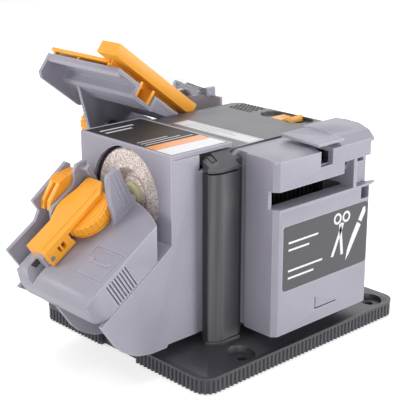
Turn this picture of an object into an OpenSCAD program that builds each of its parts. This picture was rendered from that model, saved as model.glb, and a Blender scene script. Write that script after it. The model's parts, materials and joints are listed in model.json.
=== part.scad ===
// Three-in-one bench sharpening station: a motor tower with a front grinding
// wheel, and slide-on attachments for drill bits, knives and chisels.
// Origin: centre of the four bench screws on the bench; +Z up,
// -X is the working front, the knife unit is on -Y, the chisel unit on +Y.

/* [Base] */
// Length of the base, front to back
base_l = 155; // [150:1:165]
// Width of the base
base_w = 138; // [134:1:150]
// Distance of the base centre in front of the screw pattern centre
base_shift = 10; // [8:0.5:11]
// Height of the fluted rim
rim_h = 10; // [8:0.5:12]
// Radius of the base corners
base_r = 9; // [7:0.5:10]
// Pitch of the rim flutes
flute_pitch = 3; // [2.6:0.1:4]
// Depth of the rim flutes
flute_d = 0.8; // [0.5:0.1:1.2]
// Front to back spacing of the bench screws
screw_sx = 105.5; // [103:0.5:108]
// Side to side spacing of the bench screws
screw_sy = 119; // [116:0.5:121]
// Diameter of the bench screw holes
screw_d = 5.4; // [4.5:0.1:6]
// Width of the smooth recess in the front rim
front_notch_w = 30; // [24:1:36]

/* [Tower] */
// Length of the tower, front to back
tower_l = 108.4; // [106:0.2:112]
// Width of the tower
tower_w = 93.4; // [92:0.2:95]
// Top of the corner columns
column_z = 105.5; // [104:0.5:107]
// Top of the cover
cover_z = 114.6; // [113.6:0.2:115]
// Radius of the corner columns
column_r = 10; // [8:0.5:11]
// Wall of the tower
wall = 2.4; // [2:0.1:2.8]
// Depth of the docking pockets
dock_d = 9.5; // [9:0.1:10]
// Half width of the docking pockets
dock_hw = 37.6; // [37.4:0.1:38]
// Half width of the slots that hold the attachment rails
slot_hw = 42; // [41.6:0.1:42.4]

/* [Wheel and motor] */
// Diameter of the grinding wheel
wheel_d = 50; // [48:0.5:51]
// Thickness of the grinding wheel
wheel_t = 8; // [6:0.5:8.5]
// Height of the wheel axis
axis_z = 89.2; // [88:0.2:90]
// Diameter of the dish in the wheel face
dish_d = 26.4; // [24:0.2:30]
// Diameter of the wheel bore
wheel_bore = 8; // [7:0.5:9]
// Diameter of the motor can
motor_d = 42; // [38:1:43]
// Length of the motor can
motor_l = 58; // [54:1:62]
// Diameter of the motor shaft
shaft_d = 5; // [4:0.5:6]

/* [Attachments] */
// Thickness of the attachment walls
shell = 2.2; // [1.8:0.1:2.4]
// Play of the rails in their slots
rail_play = 0.4; // [0.3:0.05:0.6]
// Bottom of the attachments
unit_z = 17.8; // [17:0.2:19]

/* [Drill unit] */
// Width of the drill unit
drill_w = 72.8; // [72:0.2:74]
// Distance of the drill unit's face from the tower
drill_d = 16.9; // [16.7:0.1:17.4]
// Top of the drill unit
drill_top = 117.6; // [117.2:0.2:119]
// Diameter of the wheel opening
opening_d = 53; // [52.4:0.2:55]
// Slope of the bit cradle
slope_a = 33.5; // [32:0.5:35]
// Height at which the slope meets the face
slope_z = 70.7; // [69:0.2:71]
// Height of the cradle's table above the slope
table_h = 16.5; // [15:0.5:18]
// Length of the cradle down the slope
cradle_l = 55; // [52:0.5:58]
// Distance of the cradle pivot down the slope
pivot_s = 10; // [9:0.5:12]
// Diameter of the cradle pivot
pivot_d = 8; // [6:0.5:9]
// Swing of the cradle to each side
swing_a = 12; // [8:1:12]
// Diameter of the clamp thumbwheel
thumb_d = 28; // [24:1:29]

/* [Knife unit] */
// Width of the knife unit
knife_w = 76.8; // [76:0.2:78]
// Distance of the knife unit's face from the tower
knife_d = 22.3; // [21:0.1:24]
// Height of the knife slot's floor
shelf_z = 87.5; // [86:0.5:89]
// Height of the knife slot
slot_h = 9.5; // [8:0.5:10]

/* [Chisel unit] */
// Distance of the chisel unit's face from the tower
chisel_d = 43.8; // [42:0.1:46]
// Slope of the chisel table
chisel_a = 37.2; // [35:0.2:38]
// Width of the tilting arm
arm_w = 66.6; // [66:0.2:69]
// Length of the orange table
table_l = 58; // [54:1:60]
// Width of the fence bar
fence_w = 16; // [14:0.5:18]
// Height of the fence bar
fence_h = 7.4; // [6:0.2:8]
// Diameter of the angle knob
knob_d = 17; // [15:0.5:18]

/* [Hidden] */
$fn = 48;
e = 0.01;

charcoal = "#3a3a3d";
black = "#1c1c1e";
cover_grey = "#7b797d";
unit_grey = "#9d9aa6";
orange = "#ffb53c";
steel = "#b8b8bc";

// ---- derived places ----
tower_x0 = -63;
tower_x1 = tower_x0 + tower_l;
tower_y = tower_w / 2;
floor_z = rim_h + 2.5;
foot_h = 1;
dock_x = tower_x0 + dock_d;
dock_y = tower_y - dock_d;
wheel_x = tower_x0 - drill_d + shell + 0.3;
face_x = tower_x0 - drill_d;
rail_t = 3;
lip_v = 3.2;
rail_z = 106.5;
pitch_gap = 0.3;

// ---- helpers ----
module rounded(l, w, r) {
    square([l - 2 * r, w], center = true);
    square([l, w - 2 * r], center = true);
    for (x = [-1, 1], y = [-1, 1]) translate([x * (l / 2 - r), y * (w / 2 - r)]) circle(r);
}

// a bar along X between two stations
module bar_x(x0, x1, d) translate([x0, 0, 0]) rotate([0, 90, 0]) cylinder(d = d, h = x1 - x0);

// a bar along Y between two stations
module bar_y(y0, y1, d) translate([0, y1, 0]) rotate([90, 0, 0]) cylinder(d = d, h = y1 - y0);

// a side profile drawn in X and Z, as thick as y0 to y1
module slab_y(y0, y1) translate([0, y1, 0]) rotate([90, 0, 0]) linear_extrude(y1 - y0) children();

// a slot along an arc round the origin, between angles a0 and a1 above the -X axis
module arc_slot(r, w, h, a0, a1) rotate([0, 0, 180 - a1]) rotate_extrude(angle = a1 - a0) translate([r - w / 2, 0]) square([w, h]);

// place children in a dock's own frame: X across the dock, +Y outward
module front_dock() translate([tower_x0, 0, 0]) rotate([0, 0, 90]) children();
module knife_dock() translate([0, -tower_y, 0]) rotate([0, 0, 180]) children();
module chisel_dock() translate([0, tower_y, 0]) children();

// ---- base ----
// outline of the rim: a rounded rectangle followed by arc length, with flutes cut in
rim_sx = base_l / 2 - base_r;
rim_sy = base_w / 2 - base_r;
rim_len = 4 * rim_sx + 4 * rim_sy + 2 * PI * base_r;
flutes = floor(rim_len / flute_pitch);
corner_len = PI * base_r / 2;
function rim_leg(s, in) = let (
    a = [2 * rim_sy, corner_len, 2 * rim_sx, corner_len, 2 * rim_sy, corner_len, 2 * rim_sx, corner_len],
    t1 = a[0], t2 = t1 + a[1], t3 = t2 + a[2], t4 = t3 + a[3], t5 = t4 + a[4], t6 = t5 + a[5],
    t7 = t6 + a[6], r = base_r - in)
    s < t1 ? [rim_sx + r, s - rim_sy] :
    s < t2 ? [rim_sx, rim_sy] + r * turn((s - t1) / base_r) :
    s < t3 ? [rim_sx - (s - t2), rim_sy + r] :
    s < t4 ? [-rim_sx, rim_sy] + r * turn((s - t3) / base_r + PI / 2) :
    s < t5 ? [-rim_sx - r, rim_sy - (s - t4)] :
    s < t6 ? [-rim_sx, -rim_sy] + r * turn((s - t5) / base_r + PI) :
    s < t7 ? [-rim_sx + (s - t6), -rim_sy - r] :
    [rim_sx, -rim_sy] + r * turn((s - t7) / base_r + 3 * PI / 2);
function turn(a) = [cos(a * 180 / PI), sin(a * 180 / PI)];
rim_step = rim_len / flutes;
lip_out = 0.25;
rim_points = [for (i = [0 : flutes - 1], p = [[0, 0], [0.42, 0], [0.54, 1], [0.88, 1]])
    rim_leg((i + p[0]) * rim_step, lip_out + p[1] * flute_d)];

foot_places = [for (x = [-1, 1], y = [-1, 1]) [x * (base_l / 2 - 16) - base_shift, y * (base_w / 2 - 22)]];
screw_places = [for (x = [-1, 1], y = [-1, 1]) [x * screw_sx / 2, y * screw_sy / 2]];
lip_h = 1.4;
post_places = [for (x = [dock_x + wall + 5, tower_x1 - wall - 6], y = [-1, 1]) [x, y * (dock_y - wall - 3)]];
post_hole = 3;
head_z = rim_h - wall;

module base_plate() color(charcoal) difference() {
    union() {
        translate([-base_shift, 0, foot_h]) linear_extrude(rim_h - foot_h - lip_h) polygon(rim_points);
        translate([-base_shift, 0, rim_h - lip_h]) linear_extrude(lip_h) rounded(base_l, base_w, base_r);
        // the top rises to the foot of the tower
        intersection() {
            slab_y(-base_w / 2, base_w / 2) polygon([[-base_shift - base_l / 2 + 2, rim_h - 1],
                [-base_shift - base_l / 2 + 2, rim_h], [tower_x0 - 3, floor_z], [tower_x1 + 3, floor_z],
                [-base_shift + base_l / 2 - 2, rim_h], [-base_shift + base_l / 2 - 2, rim_h - 1]]);
            slab_x(-base_l, base_l) polygon([[-base_w / 2 + 2, rim_h - 1], [-base_w / 2 + 2, rim_h],
                [-tower_y - 3, floor_z], [tower_y + 3, floor_z], [base_w / 2 - 2, rim_h], [base_w / 2 - 2, rim_h - 1]]);
            translate([-base_shift, 0, 0]) linear_extrude(30) rounded(base_l - 4, base_w - 4, base_r - 2);
        }
    }
    // open underside with the ribs left standing
    translate([-base_shift, 0, -e]) linear_extrude(rim_h - wall) difference() {
        rounded(base_l - 12, base_w - 8, base_r - 4);
        for (x = [-52, -26, 0, 26, 52]) translate([x - 1, -base_w / 2]) square([2, base_w]);
        for (y = [-26, 26]) translate([-base_l / 2, y - 1]) square([base_l, 2]);
        for (p = concat(screw_places, foot_places)) translate([p[0] + base_shift, p[1]]) circle(9);
    }
    // pockets for the feet
    for (p = foot_places) translate([p[0], p[1], -e]) cylinder(d = 13, h = foot_h + 2);
    // bench screws, with the sunk seats
    for (p = screw_places) translate([p[0], p[1], 0]) {
        translate([0, 0, -e]) cylinder(d = screw_d, h = 20);
        translate([0, 0, rim_h - 2]) cylinder(d = 15, h = 6);
    }
    // smooth recess in the front rim
    translate([-base_shift - base_l / 2 - 1, -front_notch_w / 2, -e])
        cube([4.4, front_notch_w, rim_h - lip_h]);
    // screws that hold the tower, from below
    for (p = post_places) translate([p[0], p[1], head_z - 4]) cylinder(d = post_hole + 0.2, h = 20);
    for (p = post_places) translate([p[0], p[1], -e]) cylinder(d = post_hole + 4, h = head_z + e);
    // motor leads and air pass up into the tower
    translate([-21, 0, -e]) linear_extrude(20) rounded(24, 40, 5);
}

module rubber_feet() color(black) for (p = foot_places) translate([p[0], p[1], 0])
    cylinder(d = 12.6, h = foot_h + 1.9);

// ---- tower ----
module tower_plan() translate([(tower_x0 + tower_x1) / 2, 0]) rounded(tower_l, tower_w, column_r);

// the pocket of a dock, seen from above in the dock's frame
module dock_plan(grow = 0) {
    translate([-dock_hw - grow, -dock_d - grow]) square([2 * (dock_hw + grow), dock_d + grow + 5]);
    translate([-slot_hw - grow, -dock_d - grow])
        square([2 * (slot_hw + grow), dock_d - lip_v - wall + 2 * grow]);
    // the lip stands a little behind the column
    translate([-slot_hw - 0.6 - grow, -lip_v - grow]) square([2 * (slot_hw + 0.6 + grow), lip_v + grow + 5]);
}

module tower_outline() difference() {
    tower_plan();
    translate([tower_x0, 0]) rotate(90) dock_plan();
    translate([0, -tower_y]) rotate(180) dock_plan();
    translate([0, tower_y]) dock_plan();
}

module tower_core() difference() {
    translate([(tower_x0 + tower_x1) / 2, 0]) rounded(tower_l - 2 * wall, tower_w - 2 * wall, column_r - wall);
    translate([tower_x0, 0]) rotate(90) dock_plan(wall);
    translate([0, -tower_y]) rotate(180) dock_plan(wall);
    translate([0, tower_y]) dock_plan(wall);
}

inlet_y = 14;
inlet_z = 26;
vent_w = 62;
vent_h = 66;
vent_z = 32;
module tower_shell() color(charcoal) difference() {
    union() {
        translate([0, 0, floor_z]) linear_extrude(column_z - floor_z) difference() {
            tower_outline();
            tower_core();
        }
        // screw posts
        for (p = post_places) translate([p[0], p[1], floor_z]) cylinder(d = post_hole + 5, h = 22);
        // foot ledge
        translate([0, 0, floor_z]) linear_extrude(2) difference() {
            translate([(tower_x0 + tower_x1) / 2, 0]) rounded(tower_l + 3, tower_w + 3, column_r + 1.5);
            tower_core();
            translate([tower_x0, 0]) rotate(90) dock_plan();
            translate([0, -tower_y]) rotate(180) dock_plan();
            translate([0, tower_y]) dock_plan();
        }
    }
    // window of each side dock for its vent panel
    for (a = [0, 180]) rotate([0, 0, a]) translate([-vent_w / 2, -dock_y - 1, vent_z])
        cube([vent_w, wall + 2, vent_h]);
    for (p = post_places) translate([p[0], p[1], floor_z - 1]) cylinder(d = post_hole, h = 18);
    // shaft hole in the front wall
    translate([0, 0, axis_z]) bar_x(dock_x - 1, dock_x + wall + 1, 16);
    // back air slots
    for (i = [0 : 7]) translate([tower_x1 - wall - 1, -22, 42 + i * 6]) cube([wall + 2, 44, 2.6]);
    // cord inlet
    translate([0, inlet_y, inlet_z]) bar_x(tower_x1 - wall - 1, tower_x1 + 1, 9);
}

rib_pitch = 3.4;
module vent_panels() color(black) for (a = [0, 180]) rotate([0, 0, a])
    translate([0, -dock_y, vent_z]) {
        translate([-vent_w / 2 + 0.3, 0.2, 0.3]) difference() {
            cube([vent_w - 0.6, wall + 0.2, vent_h - 0.6]);
            for (i = [0 : 16]) translate([2.4 + i * rib_pitch, -1, 3]) cube([1.6, wall + 3, vent_h - 6.6]);
        }
        // flange behind the window
        translate([-vent_w / 2 - 1.5, wall + 0.4, -1.5]) difference() {
            cube([vent_w + 3, 1.2, vent_h + 3]);
            translate([4, -1, 4]) cube([vent_w - 5, 4, vent_h - 5]);
        }
    }

// ---- cover ----
switch_x = 32;
switch_y = -10.5;
rocker_w = 12.4;
rocker_l = 14.8;
cell = 2.7;
cell_gap = 0.7;
module honeycomb(nx, ny) for (i = [0 : nx - 1], j = [0 : ny - 1])
    translate([i * cell * 0.866, (j + (i % 2) / 2) * cell]) rotate(0) circle(d = (cell - cell_gap) * 1.155, $fn = 6);

eave = 9.5;
module top_cover() color(cover_grey) difference() {
    union() {
        hull() {
            translate([0, 0, column_z + 1]) linear_extrude(2) tower_plan();
            translate([(tower_x0 + tower_x1) / 2 - 0.5, 0, cover_z - 1])
                linear_extrude(1) rounded(tower_l - 9, tower_w - 2 * eave, 7);
        }
        // spigot that locates the cover in the tower
        translate([0, 0, column_z - 5]) linear_extrude(7) difference() {
            offset_core(0.3);
            offset_core(2);
            translate([dock_x, -24]) square([8, 48]);
        }
    }
    // hollow underside, lower under the sloping sides
    translate([0, 0, column_z - 6]) linear_extrude(9) offset_core(2);
    translate([0, 0, column_z - 6]) linear_extrude(cover_z - column_z + 6 - wall) intersection() {
        offset_core(2);
        square([4 * tower_l, tower_w - 2 * eave], center = true);
    }
    // docks run up past the cover
    translate([tower_x0, 0]) rotate(90) dock_notch();
    translate([0, -tower_y]) rotate(180) dock_notch();
    translate([0, tower_y]) dock_notch();
    // switch recess, an oval with the switch hole in its floor
    translate([switch_x, switch_y, cover_z - 2]) linear_extrude(4) oval(36, 15);
    translate([switch_x - rocker_w / 2 - 1.2, switch_y - rocker_l / 2 - 1.2, cover_z - 10]) cube([rocker_w + 2.4, rocker_l + 2.4, 12]);
    // rating plate recess
    translate([-34, -37, cover_z - 0.5]) cube([20, 60, 2]);
    // vents
    translate([26, 13, cover_z - 6]) linear_extrude(8) honeycomb(8, 7);
    translate([26, -36, cover_z - 6]) linear_extrude(8) honeycomb(8, 2);
}
module offset_core(g) difference() {
    translate([(tower_x0 + tower_x1) / 2, 0])
        rounded(tower_l - 2 * wall - 2 * g, tower_w - 2 * wall - 2 * g, column_r - wall - g);
    translate([tower_x0, 0]) rotate(90) dock_plan(wall + g);
    translate([0, -tower_y]) rotate(180) dock_plan(wall + g);
    translate([0, tower_y]) dock_plan(wall + g);
}
module dock_notch() translate([0, 0, column_z - 10]) linear_extrude(30) dock_plan();
module oval(l, w) {
    square([w, l - w], center = true);
    for (s = [-1, 1]) translate([0, s * (l - w) / 2]) circle(d = w);
}

module rating_plate() color("#d9d9dc") translate([-33.7, -36.7, cover_z - 0.5]) cube([19.4, 59.4, 0.6]);

module housing_screws() color(steel) for (p = post_places) translate([p[0], p[1], 0]) difference() {
    union() {
        translate([0, 0, head_z - 2.2]) cylinder(d = post_hole + 2.6, h = 2.2);
        translate([0, 0, head_z - 1]) cylinder(d = post_hole - 0.1, h = 15);
    }
    translate([0, 0, head_z - 3]) cylinder(d = 2.6, h = 2, $fn = 6);
}

// ---- switch ----
module switch_frame() color(black) translate([switch_x, switch_y, 0]) difference() {
    translate([-rocker_w / 2 - 1, -rocker_l / 2 - 1, cover_z - 13]) cube([rocker_w + 2, rocker_l + 2, 11.4]);
    translate([-rocker_w / 2 - 0.2, -rocker_l / 2 - 0.3, cover_z - 10]) cube([rocker_w + 0.4, rocker_l + 0.6, 12]);
}
rocker_z = cover_z - 3.5;
module switch_rocker() color(orange) translate([switch_x, switch_y, rocker_z]) rotate([-9, 0, 0])
    slab_x(-rocker_w / 2, rocker_w / 2) difference() {
        polygon([[-rocker_l / 2, 0], [-rocker_l / 2 + 0.2, 4.2], [0, 2.6], [rocker_l / 2 - 0.2, 4.2], [rocker_l / 2, 0], [3, -4], [-3, -4]]);
        circle(d = 1.6);
    }
module slab_x(x0, x1) translate([x0, 0, 0]) rotate([90, 0, 90]) linear_extrude(x1 - x0) children();

module cord_inlet() color(black) translate([0, inlet_y, inlet_z]) difference() {
    union() {
        bar_x(tower_x1 - wall - 2, tower_x1 + 0.1, 8.6);
        bar_x(tower_x1 + 0.1, tower_x1 + 2.4, 13);
        bar_x(tower_x1 - wall - 4, tower_x1 - wall - 0.2, 11);
    }
    bar_x(tower_x1 - 20, tower_x1 + 20, 6);
}

// ---- motor ----
motor_x0 = dock_x + wall + 2.4;
motor_x1 = motor_x0 + motor_l;
bearing_d = 12;
module motor_can() color(steel) translate([0, 0, axis_z]) difference() {
    union() {
        bar_x(motor_x0, motor_x1, motor_d);
        bar_x(motor_x0 - 3.6, motor_x0 + 1, 14);
    }
    bar_x(motor_x0 + 2, motor_x1 + 1, motor_d - 5);
    bar_x(motor_x0 - 4, motor_x0 + 3, bearing_d);
}
module motor_end_bell() color(black) translate([0, 0, axis_z]) difference() {
    union() {
        bar_x(motor_x1 + 0.02, motor_x1 + 9, motor_d - 1);
        bar_x(motor_x1 + 0.02, motor_x1 + 12, 14);
    }
    bar_x(motor_x1 - 1, motor_x1 + 7, motor_d - 6);
    bar_x(motor_x1 - 1, motor_x1 + 10, bearing_d);
    for (s = [-1, 1]) translate([motor_x1 + 4.5, s * motor_d / 2, 0]) rotate([90, 0, 0]) cube([5, 4, 22], center = true);
}
module motor_bearings() color("silver") translate([0, 0, axis_z])
    for (x = [motor_x0 - 2.4, motor_x1 + 5.9]) difference() {
        bar_x(x, x + 4, bearing_d - 0.04);
        bar_x(x - 1, x + 5, shaft_d + 0.06);
    }
module motor_saddle() color(charcoal) difference() {
    for (x = [motor_x0 + 8, motor_x1 - 14]) translate([x, -26, floor_z]) cube([6, 52, axis_z - floor_z]);
    translate([0, 0, axis_z]) bar_x(motor_x0 - 10, motor_x1 + 10, motor_d + 0.1);
    for (x = [motor_x0 + 8, motor_x1 - 14]) translate([x - 1, -18, floor_z + 8]) cube([8, 36, 34]);
}
hub_x = wheel_x + wheel_t;
module motor_shaft() color(steel) translate([0, 0, axis_z]) bar_x(wheel_x + 0.3, motor_x1 + 9.5, shaft_d);
module armature() color("#8a5a3a") translate([0, 0, axis_z]) difference() {
    union() {
        for (a = [0 : 60 : 300]) rotate([a, 0, 0]) translate([motor_x0 + 14, -4.6, 6])
            cube([24, 9.2, 9.4]);
        bar_x(motor_x0 + 10, motor_x0 + 42, 20);
    }
    bar_x(motor_x0, motor_x1, shaft_d + 0.04);
}
module commutator() color("#b87333") translate([0, 0, axis_z]) difference() {
    bar_x(motor_x0 + 44, motor_x0 + 54, 14);
    bar_x(motor_x0, motor_x1, shaft_d + 0.04);
    for (a = [0 : 45 : 315]) rotate([a, 0, 0]) translate([motor_x0 + 43, -0.3, 5.6]) cube([12, 0.6, 3]);
}
module carbon_brushes() color("#2b2b2b") for (s = [-1, 1]) translate([motor_x0 + 46.5, s * 12.9, axis_z])
    cube([5, 10.8, 4], center = true);
fan_x = motor_x0 - 12;
module cooling_fan() color(black) translate([0, 0, axis_z]) difference() {
    union() {
        bar_x(dock_x - 5.6, dock_x - 4.4, 32);
        bar_x(dock_x - 5.6, dock_x - 0.8, 11);
        for (a = [0 : 45 : 315]) rotate([a, 0, 0]) translate([dock_x - 4.5, -0.6, 5]) cube([3.7, 1.2, 10.6]);
    }
    bar_x(dock_x - 9, dock_x + 2, shaft_d + 0.04);
}

// ---- wheel ----
module wheel_hub() color(steel) translate([0, 0, axis_z]) difference() {
    union() {
        bar_x(hub_x + 0.02, hub_x + 3, 20);
        bar_x(hub_x + 0.02, dock_x - 5.7, 11);
        bar_x(wheel_x + 3.4, hub_x + 1, wheel_bore - 0.1);
    }
    bar_x(wheel_x - 5, dock_x, shaft_d + 0.04);
}
module grinding_wheel() color("#cdbfb4") translate([wheel_x, 0, axis_z]) rotate([0, 90, 0]) rotate_extrude($fn = 96)
    polygon([[wheel_bore / 2, 3], [9.2, 3], [9.2, 4.6], [dish_d / 2 - 2, 4.6], [dish_d / 2, 1.2], [dish_d / 2 + 1.4, 0],
        [wheel_d / 2 - 0.8, 0], [wheel_d / 2, 0.8], [wheel_d / 2, wheel_t - 0.8], [wheel_d / 2 - 0.8, wheel_t],
        [wheel_bore / 2, wheel_t]]);
module wheel_nut() color("#c3c2a4") translate([0, 0, axis_z]) difference() {
    union() {
        bar_x(wheel_x + 1.2, wheel_x + 2.96, 13);
        translate([wheel_x + 1.2, 0, 0]) rotate([0, -90, 0]) cylinder(d1 = 13, d2 = 10.6, h = 0.8);
    }
    bar_x(wheel_x - 1.5, wheel_x + 9, shaft_d + 0.04);
}

// ---- rails shared by the three attachments, in the dock's frame ----
rail_y0 = -dock_d + rail_play;
rail_y1 = -lip_v - wall - rail_play;
rail_out = slot_hw - rail_play - 0.3;
rail_in = dock_hw - rail_play - 1.2;
module rails(z0, z1, reach = 1) for (s = [-1, 1]) scale_side(s) {
    translate([rail_in - shell, rail_y0, z0]) cube([shell, reach - rail_y0, z1 - z0]);
    translate([rail_in - shell, rail_y0, z0]) cube([rail_out - rail_in + shell, rail_y1 - rail_y0, z1 - z0]);
}
module scale_side(s) if (s > 0) children(); else mirror([1, 0, 0]) children();

// ---- drill unit ----
// the slope's own frame: X up the slope, Z off it
module on_slope() translate([face_x, 0, slope_z]) rotate([0, -slope_a, 0]) children();
drill_y = drill_w / 2;
nose_s = 42;

// side outline of the drill unit's wall in X and Z
sc = cos(slope_a);
ss = sin(slope_a);
function down(s, h) = [face_x - s * sc - h * ss, slope_z - s * ss + h * sc];
module drill_side_plan(long = true) polygon(concat(
    [[tower_x0 + 2, drill_top - 2.6], [face_x, drill_top - 2.6], [face_x, slope_z], down(cradle_l, 0)],
    long ? [[-126.2 + 0.0, 40.4], [-117.3, 27.3], [-113, 23], [-109.2, 20.6], [-103.4, 17.8], [-94.8, 16.2],
        [-84, 16.2], [-83, unit_z]]
    : [[-112, 32], [-108, 27], [-102, 22], [-92, 18.5], [-83, unit_z]],
    [[tower_x0, unit_z], [tower_x0, 106], [tower_x0 + 2, 108]]));

module drill_housing() color(unit_grey) {
    difference() {
        union() {
            // face with the wheel opening
            difference() {
                translate([face_x, -drill_y, slope_z - 4]) cube([shell, drill_w, drill_top - slope_z + 2]);
                translate([0, 0, axis_z]) bar_x(face_x - 1, face_x + shell + 1, opening_d);
            }
            // top plate over the cover
            difference() {
                translate([face_x, -drill_y, drill_top - 2.3]) cube([42, drill_w, 2.3]);
                translate([face_x + 1.5, -drill_y + 1.5, drill_top - 0.4]) cube([39, drill_w - 3, 1]);
            }
            // side walls
            slab_y(-drill_y, -drill_y + shell) drill_side_plan(true);
            slab_y(drill_y - shell, drill_y) drill_side_plan(false);
            // inner wall of the nose
            intersection() {
                slab_y(-1.2, 1.0) drill_side_plan(true);
                translate([-140, -10, 0]) cube([140 + face_x, 20, 80]);
            }
            // sloping seat of the cradle
            on_slope() translate([-44, -drill_y + 0.5, -shell]) cube([45, drill_w - 1, shell - 0.1]);
        }
        // room for the pivot's head
        on_slope() translate([-pivot_s, 0, -shell - 12]) cylinder(d = 11, h = 12);
        // pivot hole
        on_slope() translate([-pivot_s, 0, -10]) cylinder(d = 4.4, h = 20);
        // arc slot for the guide pin
        on_slope() translate([-pivot_s, 0, -shell - 1]) arc_slot(26, 4, shell + 2, -swing_a - 7, swing_a + 7);
    }
    front_dock() rails(unit_z, rail_z, 1);
    // webs that bring the side walls in to the rails
    front_dock() for (s = [-1, 1]) scale_side(s)
        translate([rail_in - shell, -0.5, unit_z]) cube([drill_y - rail_in + shell, 1.5, rail_z - unit_z]);
}
module drill_label() color(black) translate([face_x + 1.6, -drill_y + 1.6, drill_top - 0.4])
    cube([38.8, drill_w - 3.2, 0.35]);

// ---- cradle, drawn in the slope's frame ----
groove_t = 13;
trough_t0 = 24.9;
fence_t1 = 37;
cheek = 0.7;
nose_r = 12;
module cradle_side() difference() {
    union() {
        // [s, h] with s down the slope
        polygon([[14, pitch_gap], [-cradle_l, pitch_gap], [-cradle_l, 8.8], [-53.6, 13], [-51, table_h - 1], [-49, table_h], [14, table_h]]);
    }
}
cradle_r = 8;
module cradle_block() difference() {
    on_slope() slab_y(-drill_y + 0.2, trough_t0) cradle_side();
    on_slope() translate([-cradle_l, -drill_y + 0.2, -1]) difference() {
        translate([-1, -1, 0]) cube([cradle_r + 1, cradle_r + 1, 40]);
        translate([cradle_r, cradle_r, -1]) cylinder(r = cradle_r, h = 42);
    }
    // V groove for the bit
    on_slope() translate([-70, groove_t, table_h]) rotate([45, 0, 0]) translate([0, -4, -4]) cube([100, 8, 8]);
}
module bit_cradle() color(unit_grey) difference() {
    intersection() {
        union() {
            cradle_block();
            on_slope() {
                // trough floor, end wall and fence
                slab_y(trough_t0 - 1, fence_t1) polygon([[14, pitch_gap], [-cradle_l + 4, pitch_gap], [-49, 7], [14, 7]]);
                slab_y(fence_t1 - 2.4, fence_t1) polygon([[12, 1], [-47, 7], [-47.3, 21], [-25.5, 21], [-20.3, 24],
                    [-20.3, 31], [8, 33], [10.5, 28], [11, 22], [14, 12]]);
                // wall between trough and clamp
                slab_y(trough_t0 - 2.2, trough_t0) polygon([[9, 10], [11.5, 30], [13.5, 33], [7, 35], [3, 33], [1, 29.4],
                    [-2, 27.6], [-17, 27.6], [-20, 26], [-22, 22], [-24, table_h], [-24, 10]]);
                // lug of the clamp's hinge
                translate([-hinge_s - 3, lug_t, 10]) cube([6, lug_w, 11]);
                translate([-hinge_s, 0, hinge_h]) bar_y(lug_t, lug_t + lug_w, 6);
                // V guides at the wheel
                guide_fin(fin_t);
                translate([7.6, fin_t, 8]) cube([2.2, 20.8, table_h - 5]);
                translate([7.6, trough_t0 - 7.6, 8]) cube([2.2, 7.6, 24]);
                slab_y(trough_t0 - 7.6, trough_t0 - 5.6) polygon([[9, 8], [10.5, 33], [7.6, 32], [7.4, 8]]);
            }
        }
        translate([-164.9, 0, 0]) cylinder(r = 83.6, h = 200, $fn = 96);
    }
    on_slope() translate([-hinge_s, 0, hinge_h]) bar_y(lug_t - 1, lug_t + lug_w + 1, 3.1);
    // hollow underside
    on_slope() translate([-46, -drill_y + 3, -1]) cube([28, 34, table_h - 1.5]);
    // pivot bore
    on_slope() translate([-pivot_s, 0, -1]) cylinder(d = pivot_d + 0.1, h = 7.5);
    // slot that the clamp screw swings in
    on_slope() translate([-clamp_s, clamp_c, 8.6]) linear_extrude(20) rounded(9, 7.4, 3);
    // grip slots
    on_slope() for (i = [0 : 7]) translate([-27.6 - i * 1.95, -drill_y, 0.8]) cube([0.95, 2, table_h - 2.6]);
    on_slope() for (i = [0 : 7]) translate([-27.6 - i * 1.95, fence_t1 - 1, 3]) cube([0.95, 2, 14]);
    // sunk frame line round the swing arrows
    on_slope() translate([-31.8, -22.5, table_h - 0.4]) linear_extrude(1) difference() {
        square([18, 21], center = true);
        square([17, 20], center = true);
    }
    // groove floor opens to the wheel
    on_slope() translate([0, groove_t - 2, table_h - 3]) cube([20, 4, 20]);
}
// curved fin beside the thumb disc, with its guide edge towards the wheel
fin_t = -11.2;
module guide_fin(t) {
    slab_y(t, t + 2.2) polygon([[-9.5, 8], [-9.5, table_h], [-7.4, 19], [-5.8, 23], [-4.6, 28], [-1.6, 34], [1, 39], [2.9, 40.6],
        [9.3, 39.7], [10.4, 37.6], [9, 30], [8.6, 22], [9.8, table_h], [9.8, 8]]);
    slab_y(t + 1, t + 7.4) polygon([[10, 8], [10, table_h], [8.6, 22], [9, 30], [10.4, 37.6], [8.4, 38], [6.8, 30], [6.6, 22], [7.6, 8]]);
}

module cradle_pivot() color(steel) on_slope() translate([-pivot_s, 0, 0]) difference() {
    union() {
        translate([0, 0, 0.02]) cylinder(d = pivot_d, h = 6);
        translate([0, 0, -shell - 1.6]) cylinder(d = 4.2, h = 6);
        translate([0, 0, -shell - 3.4]) cylinder(d = 9, h = 3.38);
    }
    translate([0, 0, -shell - 5]) cylinder(d = 3, h = 3, $fn = 6);
}

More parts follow.
